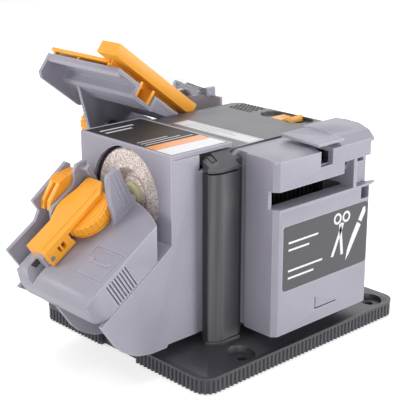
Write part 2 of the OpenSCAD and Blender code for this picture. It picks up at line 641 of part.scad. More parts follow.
// ---- clamp ----
clamp_t0 = 1.5;
clamp_t1 = 17.5;
clamp_s = 11;
clamp_c = 5.5;
lever_h = 24.6;
lever_t = 2.6;
hinge_s = 41;
hinge_h = 21;
lug_t = 6.5;
lug_w = 6;
module clamp_arm() color(orange) on_slope() difference() {
    union() {
        // top lever: a straight near edge, and a far edge that follows the thumb disc
        translate([0, 0, lever_h]) linear_extrude(lever_t) polygon([[-43, clamp_t0], [0, clamp_t0], [6.8, clamp_t0 + 6],
            [6.8, clamp_t1 + 1.6], [-2, clamp_t1 + 2], [-7, clamp_t1 + 3.3], [-clamp_s, clamp_t1 + 4.3],
            [-15, clamp_t1 + 4.3], [-19, clamp_t1 + 2.9], [-25, clamp_t1], [-43, clamp_t1]]);
        translate([-42, clamp_t0 + 4, lever_h + lever_t - 0.1]) cube([44, 3, 0.5]);
        // side webs with windows
        slab_y(clamp_t0, clamp_t0 + 2.4) clamp_web();
        slab_y(clamp_t1 - 2.4, clamp_t1) clamp_web();
        translate([-31, clamp_t0, table_h + 0.8]) cube([4, clamp_t1 - clamp_t0, lever_h - table_h]);
        difference() {
            translate([-43, clamp_t0, table_h + 1.2]) cube([7, clamp_t1 - clamp_t0, lever_h - table_h]);
            translate([-45, lug_t - 0.3, table_h]) cube([10, lug_w + 0.6, 7.6]);
        }
        // rear jaw that presses on the bit
        translate([3.8, clamp_t0 + 8.5, lever_h - 4.2]) cube([3, 6, 4.4]);
    }
    translate([-hinge_s, -20, hinge_h]) bar_y(0, 60, 3.04);
    // room for the thumb disc's neck
    translate([-clamp_s, clamp_c, 10]) cylinder(d = 7, h = lever_h + 1.6 - 10);
}
module clamp_web() difference() {
    polygon([[-43, table_h + 0.8], [-26, table_h + 0.8], [-26.4, 20], [-27, 20.6], [-27, lever_h + 0.1], [-43, lever_h + 0.1]]);
    translate([-38.4, 20]) square([4, 3.8]);
    translate([-33.4, 20]) square([3.6, 3.8]);
    translate([-29, 21]) square([1.4, 2.8]);
}
module clamp_hinge_pin() color(steel) on_slope() {
    translate([-hinge_s, 0, hinge_h]) bar_y(clamp_t0 + 0.2, clamp_t1 - 0.2, 3);
}
module clamp_screw() color(orange) on_slope() translate([-clamp_s, clamp_c, 0]) {
    difference() {
        translate([0, 0, 20.2]) cylinder(d = thumb_d, h = lever_h - 20.5, $fn = 72);
        for (a = [0 : 12 : 348]) rotate([0, 0, a]) translate([thumb_d / 2 + 0.35, 0, table_h]) cylinder(d = 2, h = 12, $fn = 12);
    }
    // ringed stack under the disc
    rotate_extrude() polygon([[0, table_h + 0.5], [thumb_d / 2 - 1.6, table_h + 0.5], [thumb_d / 2 - 1.6, 17.8],
        [thumb_d / 2 - 2.4, 18], [thumb_d / 2 - 2.4, 18.4], [thumb_d / 2 - 1.6, 18.6], [thumb_d / 2 - 1.6, 19.4],
        [thumb_d / 2 - 2.4, 19.6], [thumb_d / 2 - 2.4, 20.3], [0, 20.3]]);
    translate([0, 0, 9.4]) cylinder(d = 6, h = 12);
    translate([0, 0, 20]) cylinder(d = 6.6, h = lever_h + 1.4 - 20);
}
module clamp_pad() color(black) on_slope() translate([-47.4, lug_t + lug_w + 0.4, table_h + 0.01]) cube([8, 4.2, 0.5]);

// ---- bit gauge ----
gauge_s = -4;
gauge_h = 26;
module bit_gauge() color(orange) on_slope() difference() {
    union() {
        slab_y(trough_t0 + 0.5, fence_t1 - 2.9)
            polygon([[8, 24], [8, 29.6], [-1, 33.4], [-6, 33.6], [-6, 26], [0, 22.6]]);
        for (t = [trough_t0 + 0.5, fence_t1 - 6]) slab_y(t, t + 3.1)
            polygon([[0, 26], [-4, 33.4], [-16, 29], [-19, 25], [-18, 24], [-5, 26.6]]);
    }
    translate([-gauge_s, -10, gauge_h]) bar_y(0, 60, 2.5);
}
module gauge_pin() color(steel) on_slope() translate([-gauge_s, 0, gauge_h]) bar_y(trough_t0 + 0.05, fence_t1 - 2.45, 2.4);

// ---- knife unit, drawn in the knife dock's frame: +Y outward ----
knife_y = knife_w / 2;
hood_z = shelf_z + slot_h;
module knife_plan(d = 0) polygon([[-knife_y + d, -8.9 + d], [knife_y - d, -8.9 + d], [knife_y - d, knife_d - 2.6 - d],
    [knife_y - 2.6 - d, knife_d - d], [-knife_y + 2.6 + d, knife_d - d], [-knife_y + d, knife_d - 2.6 - d]]);
module outside_plan() polygon([[-knife_y, 0.6], [knife_y, 0.6], [knife_y, knife_d - 2.6],
    [knife_y - 2.6, knife_d], [-knife_y + 2.6, knife_d], [-knife_y, knife_d - 2.6]]);
module knife_housing() color(unit_grey) knife_dock() {
    difference() {
        union() {
            translate([0, 0, unit_z]) linear_extrude(112.6 - unit_z) outside_plan();
            // hood reaches back over the dock
            translate([-knife_y + 1.6, -8.9, rail_z + 0.4]) cube([knife_w - 3.2, 12, 113.8 - rail_z - 0.4]);
            slab_x(-knife_y, knife_y) polygon([[0.6, 112], [knife_d - 1, 112], [knife_d - 1, 112.6], [knife_d - 6, 113.8], [0.6, 113.8]]);
            // raised right shoulder
            slab_x(-knife_y, -11) polygon([[-8.9, 112], [knife_d, 111], [knife_d, 112.4], [knife_d - 4, 116.4],
                [knife_d - 11, 118.8], [2, 119.2], [-5.4, 118.6], [-5.4, 112]]);
            // flap that hangs over the scissor slot
            slab_x(-11.6, 8.3) polygon([[-3.4, 116.4], [knife_d + 0.8, 115.6], [knife_d + 0.8, 117], [-3.4, 118.2]]);
        }
        // hollow towards the tower
        translate([-knife_y + shell, -20, unit_z + shell])
            cube([knife_w - 2 * shell, 20 + knife_d - shell - 0.6, shelf_z - shell - 2 - unit_z]);
        translate([-knife_y + shell, -20, hood_z + shell])
            cube([knife_w - 2 * shell, 20 + knife_d - shell - 1.2, 110.6 - hood_z - shell]);
        // the slot's floor is only a front shelf
        translate([-knife_y + shell, -20, shelf_z - 4]) cube([knife_w - 2 * shell, 11 + knife_d, 5]);
        // knife slot, open at the left end
        translate([-22, -20, shelf_z]) cube([22 + knife_y - shell, 20 + knife_d + 1, slot_h]);
        translate([-22, knife_d - 5.8, shelf_z]) cube([knife_w, 20, slot_h]);
        // the slot turns up at its right end
        translate([-22, knife_d - 5.2, shelf_z]) cube([8, 20, 16]);
        // cut back at the right end of the slot
        translate([-knife_y - 1, knife_d - 5.2, shelf_z - 1]) cube([knife_y + 1 - 24.5, 20, 17]);
        translate([-35.5, knife_d - 5.2, shelf_z - 8]) cube([6.5, 20, 10]);
        // scissor slot through the hood
        slab_x(-4.2, 5.4) polygon([[knife_d + 1, 104.2], [knife_d - 3, 104.2], [knife_d - 8, 109.5], [3, 109.5], [3, 116.2],
            [knife_d + 1, 115.5]]);
        // label recess
        translate([-35.6, knife_d - 0.5, 42]) cube([68.4, 2, 35.6]);
        // latch tab
        translate([-11.2, knife_d - 3, 25]) difference() {
            cube([18, 5, 7.2]);
            translate([-1, -1, 0.9]) cube([18, 7, 7]);
        }
    }
    // shelf blade with its pointed end
    translate([0, 0, shelf_z - 1.2]) linear_extrude(1.2)
        polygon([[36, knife_d - 8], [36, knife_d + 0.3], [-28.5, knife_d + 0.3], [-36, knife_d + 0.3], [-42.5, knife_d - 1.6],
            [-36, knife_d - 4], [-28.5, knife_d - 8]]);
    // post beside the slot
    translate([-24.5, knife_d - 8, shelf_z - 1]) cube([2.5, 3, 18]);
    rails(unit_z, rail_z, 3);
}
module knife_label() color("#6f6b6e") knife_dock() translate([-35.4, knife_d - 0.5, 42.2]) cube([68, 0.4, 35.2]);

// ---- chisel unit, drawn in the chisel dock's frame: +Y outward ----
chisel_w = knife_w;
chisel_y = chisel_w / 2;
step_z = 44;
arm_px = 20;
arm_pz = 90;
body_z = arm_pz + 8;
post_z = body_z + 18;
knob_x = arm_px - 40;
knob_z = arm_pz + 10;
knob_r = sqrt(pow(arm_px - knob_x, 2) + pow(knob_z - arm_pz, 2));
knob_a = atan2(knob_z - arm_pz, arm_px - knob_x);
dock_play = 2;
module chisel_housing() color(unit_grey) chisel_dock() difference() {
    union() {
        translate([0, 0, step_z]) linear_extrude(body_z - step_z)
            polygon([[-chisel_y, 0.6], [chisel_y, 0.6], [chisel_y, chisel_d - 6], [chisel_y - 6, chisel_d],
                [-chisel_y + 6, chisel_d], [-chisel_y, chisel_d - 6]]);
        translate([0, 0, unit_z]) linear_extrude(step_z - unit_z + 1)
            polygon([[-chisel_y, 0.6], [chisel_y, 0.6], [chisel_y, chisel_d - 18], [chisel_y - 6, chisel_d - 12],
                [-chisel_y + 6, chisel_d - 12], [-chisel_y, chisel_d - 18]]);
        rails(unit_z, body_z, 3);
        // raised cheek that carries the guard
        translate([chisel_y - shell, 2, body_z - 1]) cube([shell, chisel_d - 10, post_z - body_z + 1]);
        translate([chisel_y - 8, chisel_d - 10, body_z - 1]) cube([8, shell, post_z - body_z + 1]);
    }
    translate([-chisel_y + shell, 2.8, unit_z + shell]) cube([chisel_w - 2 * shell, chisel_d - 12 - shell - 2.8 - 5, 60]);
    translate([-chisel_y + shell, 2.8, step_z + shell]) cube([chisel_w - 2 * shell, chisel_d - shell - 8.8, body_z - step_z]);
    translate([-chisel_y + shell + 6, 2.8, step_z + shell]) cube([chisel_w - 2 * shell - 12, chisel_d - shell - 2.8, body_z - step_z]);
    translate([-chisel_y + 5, -20, unit_z + shell]) cube([chisel_w - 10, 24, 86]);
    // arc slot for the angle bolt
    translate([arm_px, chisel_d + 1, arm_pz]) rotate([90, 0, 0]) arc_slot(knob_r, 6.6, shell + 3, knob_a - 18, knob_a + 5);
    // arm hinge
    translate([arm_px, 0, arm_pz]) bar_y(chisel_d - shell - 1, chisel_d + 1, 5.1);
    // label recess
    translate([-31, chisel_d - 0.4, 47]) cube([60, 2, 32]);
    // latch tab
    translate([-8, chisel_d - 15, 26]) difference() {
        cube([18, 5, 7.2]);
        translate([-1, -1, 0.9]) cube([18, 7, 7]);
    }
}
module chisel_label() color("#6f6b6e") chisel_dock() translate([-30.8, chisel_d - 0.4, 47.2]) cube([59.6, 0.4, 31.6]);

ca = cos(chisel_a);
sa = sin(chisel_a);
tray_x = -50.3;
tray_z = arm_pz + 56.8;
arm_y0 = dock_play + drill_y - tower_y;
arm_y1 = arm_y0 + arm_w;
table_travel = 14;
chan_s = 32;
chan_w = 13.6;
web_y0 = chisel_d + 0.3;
web_t = 2.6;
module chisel_arm() color(unit_grey) chisel_dock() difference() {
    union() {
        // tray: skin either side of the channel, far wall, lip and near gusset
        tray_slab(arm_y0, arm_y1, [[0, 0], [-18, 0], [-18, -2.2], [0, -2.2]]);
        tray_slab(arm_y0, arm_y1, [[-chan_s, 0], [-66, 0], [-66, -2.2], [-chan_s, -2.2]]);
        tray_slab(arm_y1 - 2.4, arm_y1, [[0, 0], [-60, 0], [-36, -15.6], [-3, -15.2], [0, -12.6]]);
        tray_slab(arm_y0 + 0.4, arm_y0 + 2.8, [[-chan_s, 0], [-62, 0], [-62, -2], [-chan_s, -8.9]]);
        tray_slab(arm_y0, arm_y1, [[0, 0], [-2.4, 0], [-2.4, -4.5], [-1, -4.5], [0, -3]]);
        // channel that the table's runner slides in
        tray_slab(arm_y0, arm_y1, [[-chan_s + chan_w + 2, 0], [-chan_s + chan_w + 2, -7.6], [-chan_s + chan_w, -8.9], [-chan_s - 2, -8.9],
            [-chan_s - 2, 0]]);
        // web down to the hinge and the knob
        slab_y(web_y0, web_y0 + web_t) polygon([[knob_x - 11, knob_z - 4], [knob_x - 6, knob_z - 10], [knob_x + 4, knob_z - 11],
            [arm_px - 4, arm_pz - 7], [arm_px + 6, arm_pz - 5], [arm_px + 6, arm_pz + 4], [-2, arm_pz + 17.6], [-34, arm_pz + 41.8],
            [-40, arm_pz + 40]]);
    }
    translate([arm_px, 0, arm_pz]) bar_y(0, 80, 5.1);
    translate([knob_x, 0, knob_z]) bar_y(0, 80, 5.1);
    // the channel's inside, open at its near end
    tray_slab(arm_y0 - 1, arm_y1 - 2.4, [[-chan_s + chan_w, 1], [-chan_s, 1], [-chan_s, -6.9], [-chan_s + chan_w, -6.9]]);
}
// an outline in the tray's frame: first value along the slope (0 at its top), second off the tray
module tray_slab(y0, y1, pts) slab_y(y0, y1)
    polygon([for (p = pts) [tray_x - p[0] * ca + p[1] * sa, tray_z + p[0] * sa + p[1] * ca]]);

module arm_hinge_pin() color(steel) chisel_dock() translate([arm_px, 0, arm_pz]) {
    bar_y(chisel_d - shell - 2, web_y0 + web_t + 0.02, 5);
    bar_y(web_y0 + web_t + 0.02, web_y0 + web_t + 2, 9);
    bar_y(chisel_d - shell - 4, chisel_d - shell - 1.98, 9);
}
module angle_bolt() color(steel) chisel_dock() translate([knob_x, 0, knob_z]) {
    bar_y(chisel_d - shell - 1.2, web_y0 + web_t + 10, 5);
    bar_y(chisel_d - shell - 4.2, chisel_d - shell - 1.2, 10);
}
module angle_knob() color(orange) chisel_dock() translate([knob_x, web_y0 + web_t + 0.3, knob_z]) rotate([-90, 0, 0])
    difference() {
        cylinder(d = knob_d, h = 12);
        for (a = [0 : 20 : 340]) rotate([0, 0, a]) translate([knob_d / 2 + 0.4, 0, -1]) cylinder(d = 2, h = 15, $fn = 16);
        translate([0, 0, 8]) cylinder(d = knob_d - 5, h = 5);
        translate([0, 0, -1]) cylinder(d = 5.1, h = 12);
    }
module angle_pointer() color("#e8e8ea") chisel_dock() slab_y(chisel_d + 0.02, chisel_d + 0.25)
    polygon([for (p = [[-5.5, -5.5], [-11, -5.5], [-13, -16], [-8, -16]]) [knob_x + p[0], knob_z + p[1]]]);

table_t = 4.2;
module chisel_table() color(orange) chisel_dock() difference() {
    union() {
        tray_slab(arm_y0 + 12, arm_y1 - 1, [[0, 2], [0, table_t], [-table_l, table_t], [-table_l, 2]]);
        for (y = [12, 40, arm_w - 4], d = [2, 26, table_l - 4])
            tray_slab(arm_y0 + y, arm_y0 + y + 2, [[-d, 0.3], [-d, 2.4], [-d - 2.6, 2.4], [-d - 2.6, 0.3]]);
        tray_slab(arm_y0 + 0.6, arm_y0 + 0.6 + fence_w, [[7, table_t], [7, table_t + fence_h], [-64, table_t + fence_h], [-64, table_t]]);
        tray_slab(arm_y0 + 10, arm_y0 + 13, [[-1, 1], [-1, table_t + 0.1], [-60, table_t + 0.1], [-60, 1]]);
        // runner block in the channel
        for (e = [-chan_s + chan_w - 0.4, -chan_s + 2.6]) tray_slab(arm_y0 + 1.5, arm_y1 - 5 - table_travel,
            [[e, 2.4], [e, -6.4], [e - 2.2, -6.4], [e - 2.2, 2.4]]);
    }
}
guard_x = 34;
guard_z = post_z + 3;
guard_y0 = 58 - tower_y;
module chisel_guard() color([0.9, 0.93, 0.96, 0.5]) chisel_dock() translate([guard_x, 0, guard_z]) rotate([0, 22.7, 0])
    difference() {
        union() {
            translate([-54, guard_y0, -0.6]) cube([54, 26, 1.2]);
            bar_y(guard_y0, guard_y0 + 26, 4);
        }
        bar_y(guard_y0 - 1, guard_y0 + 27, 2.1);
    }
module guard_clip() color(unit_grey) chisel_dock() {
    difference() {
        union() {
            translate([guard_x - 3, guard_y0 - 3, post_z + 0.01]) cube([7.4, 2.6, 5.4]);
            translate([guard_x - 3, guard_y0 + 26.4, post_z + 0.01]) cube([7.4, 2.6, 5.4]);
            translate([guard_x + 2.3, guard_y0 - 3, post_z + 0.01]) cube([2.1, 32, 1]);
        }
        translate([guard_x, 0, guard_z]) bar_y(0, 80, 2);
    }
    translate([guard_x, 0, guard_z]) bar_y(guard_y0 - 2.8, guard_y0 + 28.8, 2);
}

base_plate();
rubber_feet();
tower_shell();
vent_panels();
top_cover();
rating_plate();
housing_screws();
switch_frame();
switch_rocker();
cord_inlet();
motor_can();
motor_end_bell();
motor_bearings();
motor_saddle();
motor_shaft();
armature();
commutator();
carbon_brushes();
cooling_fan();
wheel_hub();
grinding_wheel();
wheel_nut();
drill_housing();
drill_label();
bit_cradle();
cradle_pivot();
clamp_arm();
clamp_hinge_pin();
clamp_screw();
clamp_pad();
bit_gauge();
gauge_pin();
knife_housing();
knife_label();
chisel_housing();
chisel_label();
angle_pointer();
chisel_arm();
arm_hinge_pin();
angle_bolt();
angle_knob();
chisel_table();
chisel_guard();
guard_clip();
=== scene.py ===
import json
import math

import bmesh
import bpy
from bpy.props import FloatProperty, FloatVectorProperty, PointerProperty
from mathutils import Matrix, Vector


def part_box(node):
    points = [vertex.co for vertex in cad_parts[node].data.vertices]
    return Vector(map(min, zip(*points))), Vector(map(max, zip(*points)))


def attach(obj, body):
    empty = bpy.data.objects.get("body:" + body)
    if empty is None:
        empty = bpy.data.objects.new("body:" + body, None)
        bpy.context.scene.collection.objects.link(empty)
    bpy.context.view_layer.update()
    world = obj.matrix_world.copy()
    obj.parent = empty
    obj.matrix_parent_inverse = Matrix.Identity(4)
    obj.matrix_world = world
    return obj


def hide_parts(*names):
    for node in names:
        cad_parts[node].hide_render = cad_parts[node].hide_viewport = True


bl_info = {
    "name": "Sharpening station dressing",
    "version": (1, 0, 0),
    "blender": (4, 5, 0),
    "location": "View3D > Sidebar > Sharpener",
    "description": "Finishes, labels, moulded edges and a studio for a bench sharpening station",
    "category": "Object",
}

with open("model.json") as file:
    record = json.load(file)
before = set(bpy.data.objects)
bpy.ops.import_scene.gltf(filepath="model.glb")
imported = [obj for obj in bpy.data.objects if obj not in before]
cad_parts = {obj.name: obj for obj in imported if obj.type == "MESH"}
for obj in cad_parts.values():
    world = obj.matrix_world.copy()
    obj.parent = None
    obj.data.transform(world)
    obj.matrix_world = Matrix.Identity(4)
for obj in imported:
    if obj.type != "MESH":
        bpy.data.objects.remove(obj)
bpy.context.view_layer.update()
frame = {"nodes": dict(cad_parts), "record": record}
RECORD = frame["record"]
JOINTS = {joint["name"]: joint for joint in RECORD["behaviour"]["joints"]}
BODY_OF = {node: body for body, nodes in RECORD["behaviour"]["bodies"].items() for node in nodes}
SLOT_OF = {part["node"]: part["material_slot"] for part in RECORD["subparts"]}

# outlines are drawn in millimetres, and everything that Blender reads is in metres
MM = 0.001


def box_of(node):
    """Lowest and highest corner of a part in millimetres."""
    low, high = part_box(node)
    return Vector(low) / MM, Vector(high) / MM


def pivot_of(joint):
    """Where a joint's axis passes, in millimetres."""
    return Vector(JOINTS[joint]["pos_m"]) / MM


# ---------------------------------------------------------------- colours

def linear(hex_colour):
    """Turn an sRGB hex colour into linear RGBA."""
    parts = [int(hex_colour[i:i + 2], 16) / 255 for i in (1, 3, 5)]
    rgb = [c / 12.92 if c <= 0.04045 else ((c + 0.055) / 1.055) ** 2.4 for c in parts]
    return (*rgb, 1.0)


def colour_prop(name, description, hex_colour):
    """A colour that a user can change."""
    return FloatVectorProperty(name=name, description=description, subtype="COLOR", size=4,
                               min=0.0, max=1.0, default=linear(hex_colour))


def length_prop(name, description, millimetres):
    """A length that a user can change, held in metres."""
    return FloatProperty(name=name, description=description, subtype="DISTANCE", unit="LENGTH",
                         default=millimetres * MM, min=0.0)


class FinishSettings(bpy.types.PropertyGroup):
    grey: colour_prop("Attachment grey", "ABS of the three attachments", "#9b98a5")
    charcoal: colour_prop("Charcoal", "ABS of the base and tower", "#38373d")
    cover: colour_prop("Cover grey", "ABS of the top cover", "#4a494e")
    black: colour_prop("Black", "ABS of vents, switch frame and fan", "#17171a")
    orange: colour_prop("Orange", "ABS of the clamp, gauge, knob and table", "#ffab30")
    label: colour_prop("Label grey", "Printed film on the knife and chisel units", "#454448")
    label_black: colour_prop("Label black", "Printed film on the drill unit", "#141416")
    plate: colour_prop("Plate silver", "Foil of the rating plate", "#d6d6da")
    grit: colour_prop("Grit", "Abrasive coating of the wheel", "#e0cfca")
    nut: colour_prop("Nut", "Pale lacquer of the wheel nut", "#b9b891")
    pale_print: colour_prop("Pale print", "Ink of the pictograms and rules", "#e4e4e8")
    orange_print: colour_prop("Orange print", "Ink of the band on the drill film", "#e88a1e")
    dark_print: colour_prop("Dark print", "Ink of the rules on the rating plate", "#77777c")


class SizeSettings(bpy.types.PropertyGroup):
    edge: length_prop("Moulded edge", "Radius of the edges of moulded shells", 0.55)
    texture_grain: length_prop("Spark texture", "Grain of the moulded skin, drawn coarse enough to show", 0.6)
    grit_grain: length_prop("Grit", "Grain of the wheel, drawn coarse enough to show", 0.42)
    film_corner: length_prop("Film corner", "Radius of the corners of the films on the side units", 2.6)
    print_height: length_prop("Print height", "How far the printed shapes stand off the film", 0.04)
    relief: length_prop("Relief", "How far the moulded marks stand off their face", 0.35)


# ---------------------------------------------------------------- materials

CLOUD_SIZE = 28 * MM    # breadth of the patches in which a moulded skin is uneven
HIGHLIGHT_AND_RUB_WIDTH = 0.9 * MM    # how far from an edge the painted highlight reaches, which also stands for rubbing by handling
RIPPLE_SIZE = 3 * MM    # orange peel of a printed film
SMUDGE_SIZE = 18 * MM   # patches that fingers leave on a film
HAZE_SIZE = 9 * MM      # patches that fingers leave on the clear guard
TOOL_MARK = 0.5 * MM    # pitch of the lathe's marks, drawn coarse enough to show
WIRE_PITCH = 1.2 * MM   # from one turn of the winding to the next
DUST_SIZE = 0.3 * MM    # grain of rubber, drawn coarse enough to show


def add_node(tree, kind, inputs=None, **settings):
    """Add a node, set its properties, and fill or link its inputs."""
    node = tree.nodes.new(kind)
    for key, value in settings.items():
        setattr(node, key, value)
    for key, value in (inputs or {}).items():
        if isinstance(value, bpy.types.NodeSocket):
            tree.links.new(value, node.inputs[key])
        else:
            node.inputs[key].default_value = value
    return node


def new_material(name, **constants):
    """A material with a Principled shader, its constants set on the shader's own sockets."""
    material = bpy.data.materials.new(name)
    material.use_nodes = True
    shader = material.node_tree.nodes["Principled BSDF"]
    for key, value in constants.items():
        shader.inputs[key.replace("_", " ")].default_value = value
    return material, material.node_tree, shader


def object_coordinates(tree):
    """Places in the model's own metres, which stay with a piece when its body moves."""
    return add_node(tree, "ShaderNodeTexCoord").outputs["Object"]


def tinted(colour, amount):
    """A colour made darker or brighter, up to full."""
    return (*[min(1.0, c * amount) for c in colour[:3]], 1.0)


def edge_highlight_and_rub(tree, tone, colour, highlight_and_rub):
    """Blend a tone with a paler one along the edges: a painted highlight where light catches them, which also
    stands for skin rubbed by handling.
    """
    softened = add_node(tree, "ShaderNodeBevel", {"Radius": HIGHLIGHT_AND_RUB_WIDTH}, samples=4)
    surface = add_node(tree, "ShaderNodeNewGeometry")
    turn = add_node(tree, "ShaderNodeVectorMath",
                    {0: softened.outputs["Normal"], 1: surface.outputs["Normal"]}, operation="DOT_PRODUCT")
    # the two normals agree on a flat face and part over an edge
    highlight_share = add_node(tree, "ShaderNodeMapRange",
                      {"Value": turn.outputs["Value"], "From Min": 0.995, "From Max": 0.86,
                       "To Min": 0.0, "To Max": highlight_and_rub})
    # the paler tone along the edges is a painted highlight, which also stands for rubbing
    highlit = add_node(tree, "ShaderNodeMix",
                    {"Factor": highlight_share.outputs["Result"], "A": tone, "B": tinted(colour, 2.0)},
                    data_type="RGBA")
    return highlit.outputs["Result"]


def moulded_abs(name, colour, roughness, grain, depth=0.05 * MM, mottling=0.08, highlight_and_rub=0.55):
    """ABS from a spark-eroded tool: a satin skin, uneven in tone and gloss, with a painted highlight along
    its edges that also stands for rubbing.
    """
    material, tree, shader = new_material(name, Roughness=roughness, IOR=1.52)
    where = object_coordinates(tree)
    broad = add_node(tree, "ShaderNodeTexNoise", {"Vector": where, "Scale": 1 / CLOUD_SIZE, "Detail": 3.0})
    grains = add_node(tree, "ShaderNodeTexNoise", {"Vector": where, "Scale": 1 / grain, "Detail": 2.0})
    uneven = add_node(tree, "ShaderNodeMix",
                      {"Factor": 0.45, "A": broad.outputs["Fac"], "B": grains.outputs["Fac"]})
    spread = add_node(tree, "ShaderNodeMapRange",
                      {"Value": uneven.outputs["Result"], "From Min": 0.3, "From Max": 0.7})
    tone = add_node(tree, "ShaderNodeMix",
                    {"Factor": spread.outputs["Result"], "A": tinted(colour, 1 - mottling),
                     "B": tinted(colour, 1 + mottling)}, data_type="RGBA")
    # the edges get a painted highlight, which also stands for rubbing
    tree.links.new(edge_highlight_and_rub(tree, tone.outputs["Result"], colour, highlight_and_rub), shader.inputs["Base Color"])
    gloss = add_node(tree, "ShaderNodeMapRange",
                     {"Value": broad.outputs["Fac"], "To Min": roughness - 0.05, "To Max": roughness + 0.07})
    tree.links.new(gloss.outputs["Result"], shader.inputs["Roughness"])
    bump = add_node(tree, "ShaderNodeBump",
                    {"Height": grains.outputs["Fac"], "Distance": depth, "Strength": 0.5})
    tree.links.new(bump.outputs["Normal"], shader.inputs["Normal"])
    return material


def printed_film(name, colour, roughness=0.3, ior=1.5):
    """Self-adhesive printed polyester film: flat, smooth, with a faint orange-peel ripple."""
    material, tree, shader = new_material(name, Base_Color=colour, Roughness=roughness, IOR=ior)
    where = object_coordinates(tree)
    ripple = add_node(tree, "ShaderNodeTexNoise", {"Vector": where, "Scale": 1 / RIPPLE_SIZE, "Detail": 1.0})
    bump = add_node(tree, "ShaderNodeBump",
                    {"Height": ripple.outputs["Fac"], "Distance": 0.02 * MM, "Strength": 0.4})
    tree.links.new(bump.outputs["Normal"], shader.inputs["Normal"])
    smudge = add_node(tree, "ShaderNodeTexNoise", {"Vector": where, "Scale": 1 / SMUDGE_SIZE, "Detail": 4.0})
    gloss = add_node(tree, "ShaderNodeMapRange",
                     {"Value": smudge.outputs["Fac"], "To Min": roughness - 0.06, "To Max": roughness + 0.08})
    tree.links.new(gloss.outputs["Result"], shader.inputs["Roughness"])
    return material


def bonded_grit(name, colour, grain):
    """Grit bonded to a steel cup: bright and dark grains, drawn coarser than real so that they show."""
    material, tree, shader = new_material(name, Roughness=0.6, Metallic=0.25)
    where = object_coordinates(tree)
    grains = add_node(tree, "ShaderNodeTexVoronoi", {"Vector": where, "Scale": 1 / grain})
    speckle = add_node(tree, "ShaderNodeValToRGB", {"Fac": grains.outputs["Color"]})
    ramp = speckle.color_ramp
    ramp.elements[0].position, ramp.elements[0].color = 0.12, tinted(colour, 0.3)
    ramp.elements[1].position, ramp.elements[1].color = 0.85, tinted(colour, 1.5)
    middle = ramp.elements.new(0.45)
    middle.color = tinted(colour, 0.95)
    tree.links.new(speckle.outputs["Color"], shader.inputs["Base Color"])
    bump = add_node(tree, "ShaderNodeBump",
                    {"Height": grains.outputs["Distance"], "Distance": 0.12 * MM, "Strength": 0.7})
    tree.links.new(bump.outputs["Normal"], shader.inputs["Normal"])
    return material


def turned_steel(name, hex_colour, roughness=0.3):
    """Bright steel turned on a lathe: fine tool marks that stretch the highlight."""
    material, tree, shader = new_material(name, Base_Color=linear(hex_colour), Metallic=1.0,
                                          Roughness=roughness)
    where = object_coordinates(tree)
    marks = add_node(tree, "ShaderNodeTexNoise", {"Vector": where, "Scale": 1 / TOOL_MARK, "Detail": 2.0})
    bump = add_node(tree, "ShaderNodeBump",
                    {"Height": marks.outputs["Fac"], "Distance": 0.01 * MM, "Strength": 0.3})
    tree.links.new(bump.outputs["Normal"], shader.inputs["Normal"])
    return material


def enamelled_wire(name):
    """Enamelled copper wire wound in even turns: painted shade between them and a painted highlight along
    their tops.
    """
    material, tree, shader = new_material(name, Metallic=0.8, Roughness=0.35)
    where = object_coordinates(tree)
    turns = add_node(tree, "ShaderNodeTexWave", {"Vector": where, "Scale": 0.5 / WIRE_PITCH / math.pi},
                     bands_direction="X")
    # dark and bright copper in bands: painted shade between the turns and a painted highlight on their tops
    tone = add_node(tree, "ShaderNodeMix",
                    {"Factor": turns.outputs["Fac"], "A": linear("#5a2a12"), "B": linear("#b8672f")},
                    data_type="RGBA")
    tree.links.new(tone.outputs["Result"], shader.inputs["Base Color"])
    return material


def moulded_rubber(name, hex_colour):
    """Black vulcanised rubber: matte with a fine dusty grain."""
    material, tree, shader = new_material(name, Base_Color=linear(hex_colour), Roughness=0.8)
    where = object_coordinates(tree)
    grains = add_node(tree, "ShaderNodeTexNoise", {"Vector": where, "Scale": 1 / DUST_SIZE, "Detail": 3.0})
    bump = add_node(tree, "ShaderNodeBump",
                    {"Height": grains.outputs["Fac"], "Distance": 0.04 * MM, "Strength": 0.6})
    tree.links.new(bump.outputs["Normal"], shader.inputs["Normal"])
    return material


def clear_polycarbonate(name):
    """Clear polycarbonate sheet: nearly invisible face-on, bright along its edges, hazed by handling."""
    material, tree, shader = new_material(name, Base_Color=linear("#e9eef2"), IOR=1.58,
                                          Transmission_Weight=1.0)
    where = object_coordinates(tree)
    haze = add_node(tree, "ShaderNodeTexNoise", {"Vector": where, "Scale": 1 / HAZE_SIZE, "Detail": 2.0})
    gloss = add_node(tree, "ShaderNodeMapRange",
                     {"Value": haze.outputs["Fac"], "To Min": 0.03, "To Max": 0.12})
    tree.links.new(gloss.outputs["Result"], shader.inputs["Roughness"])
    return material


FINISH = {}


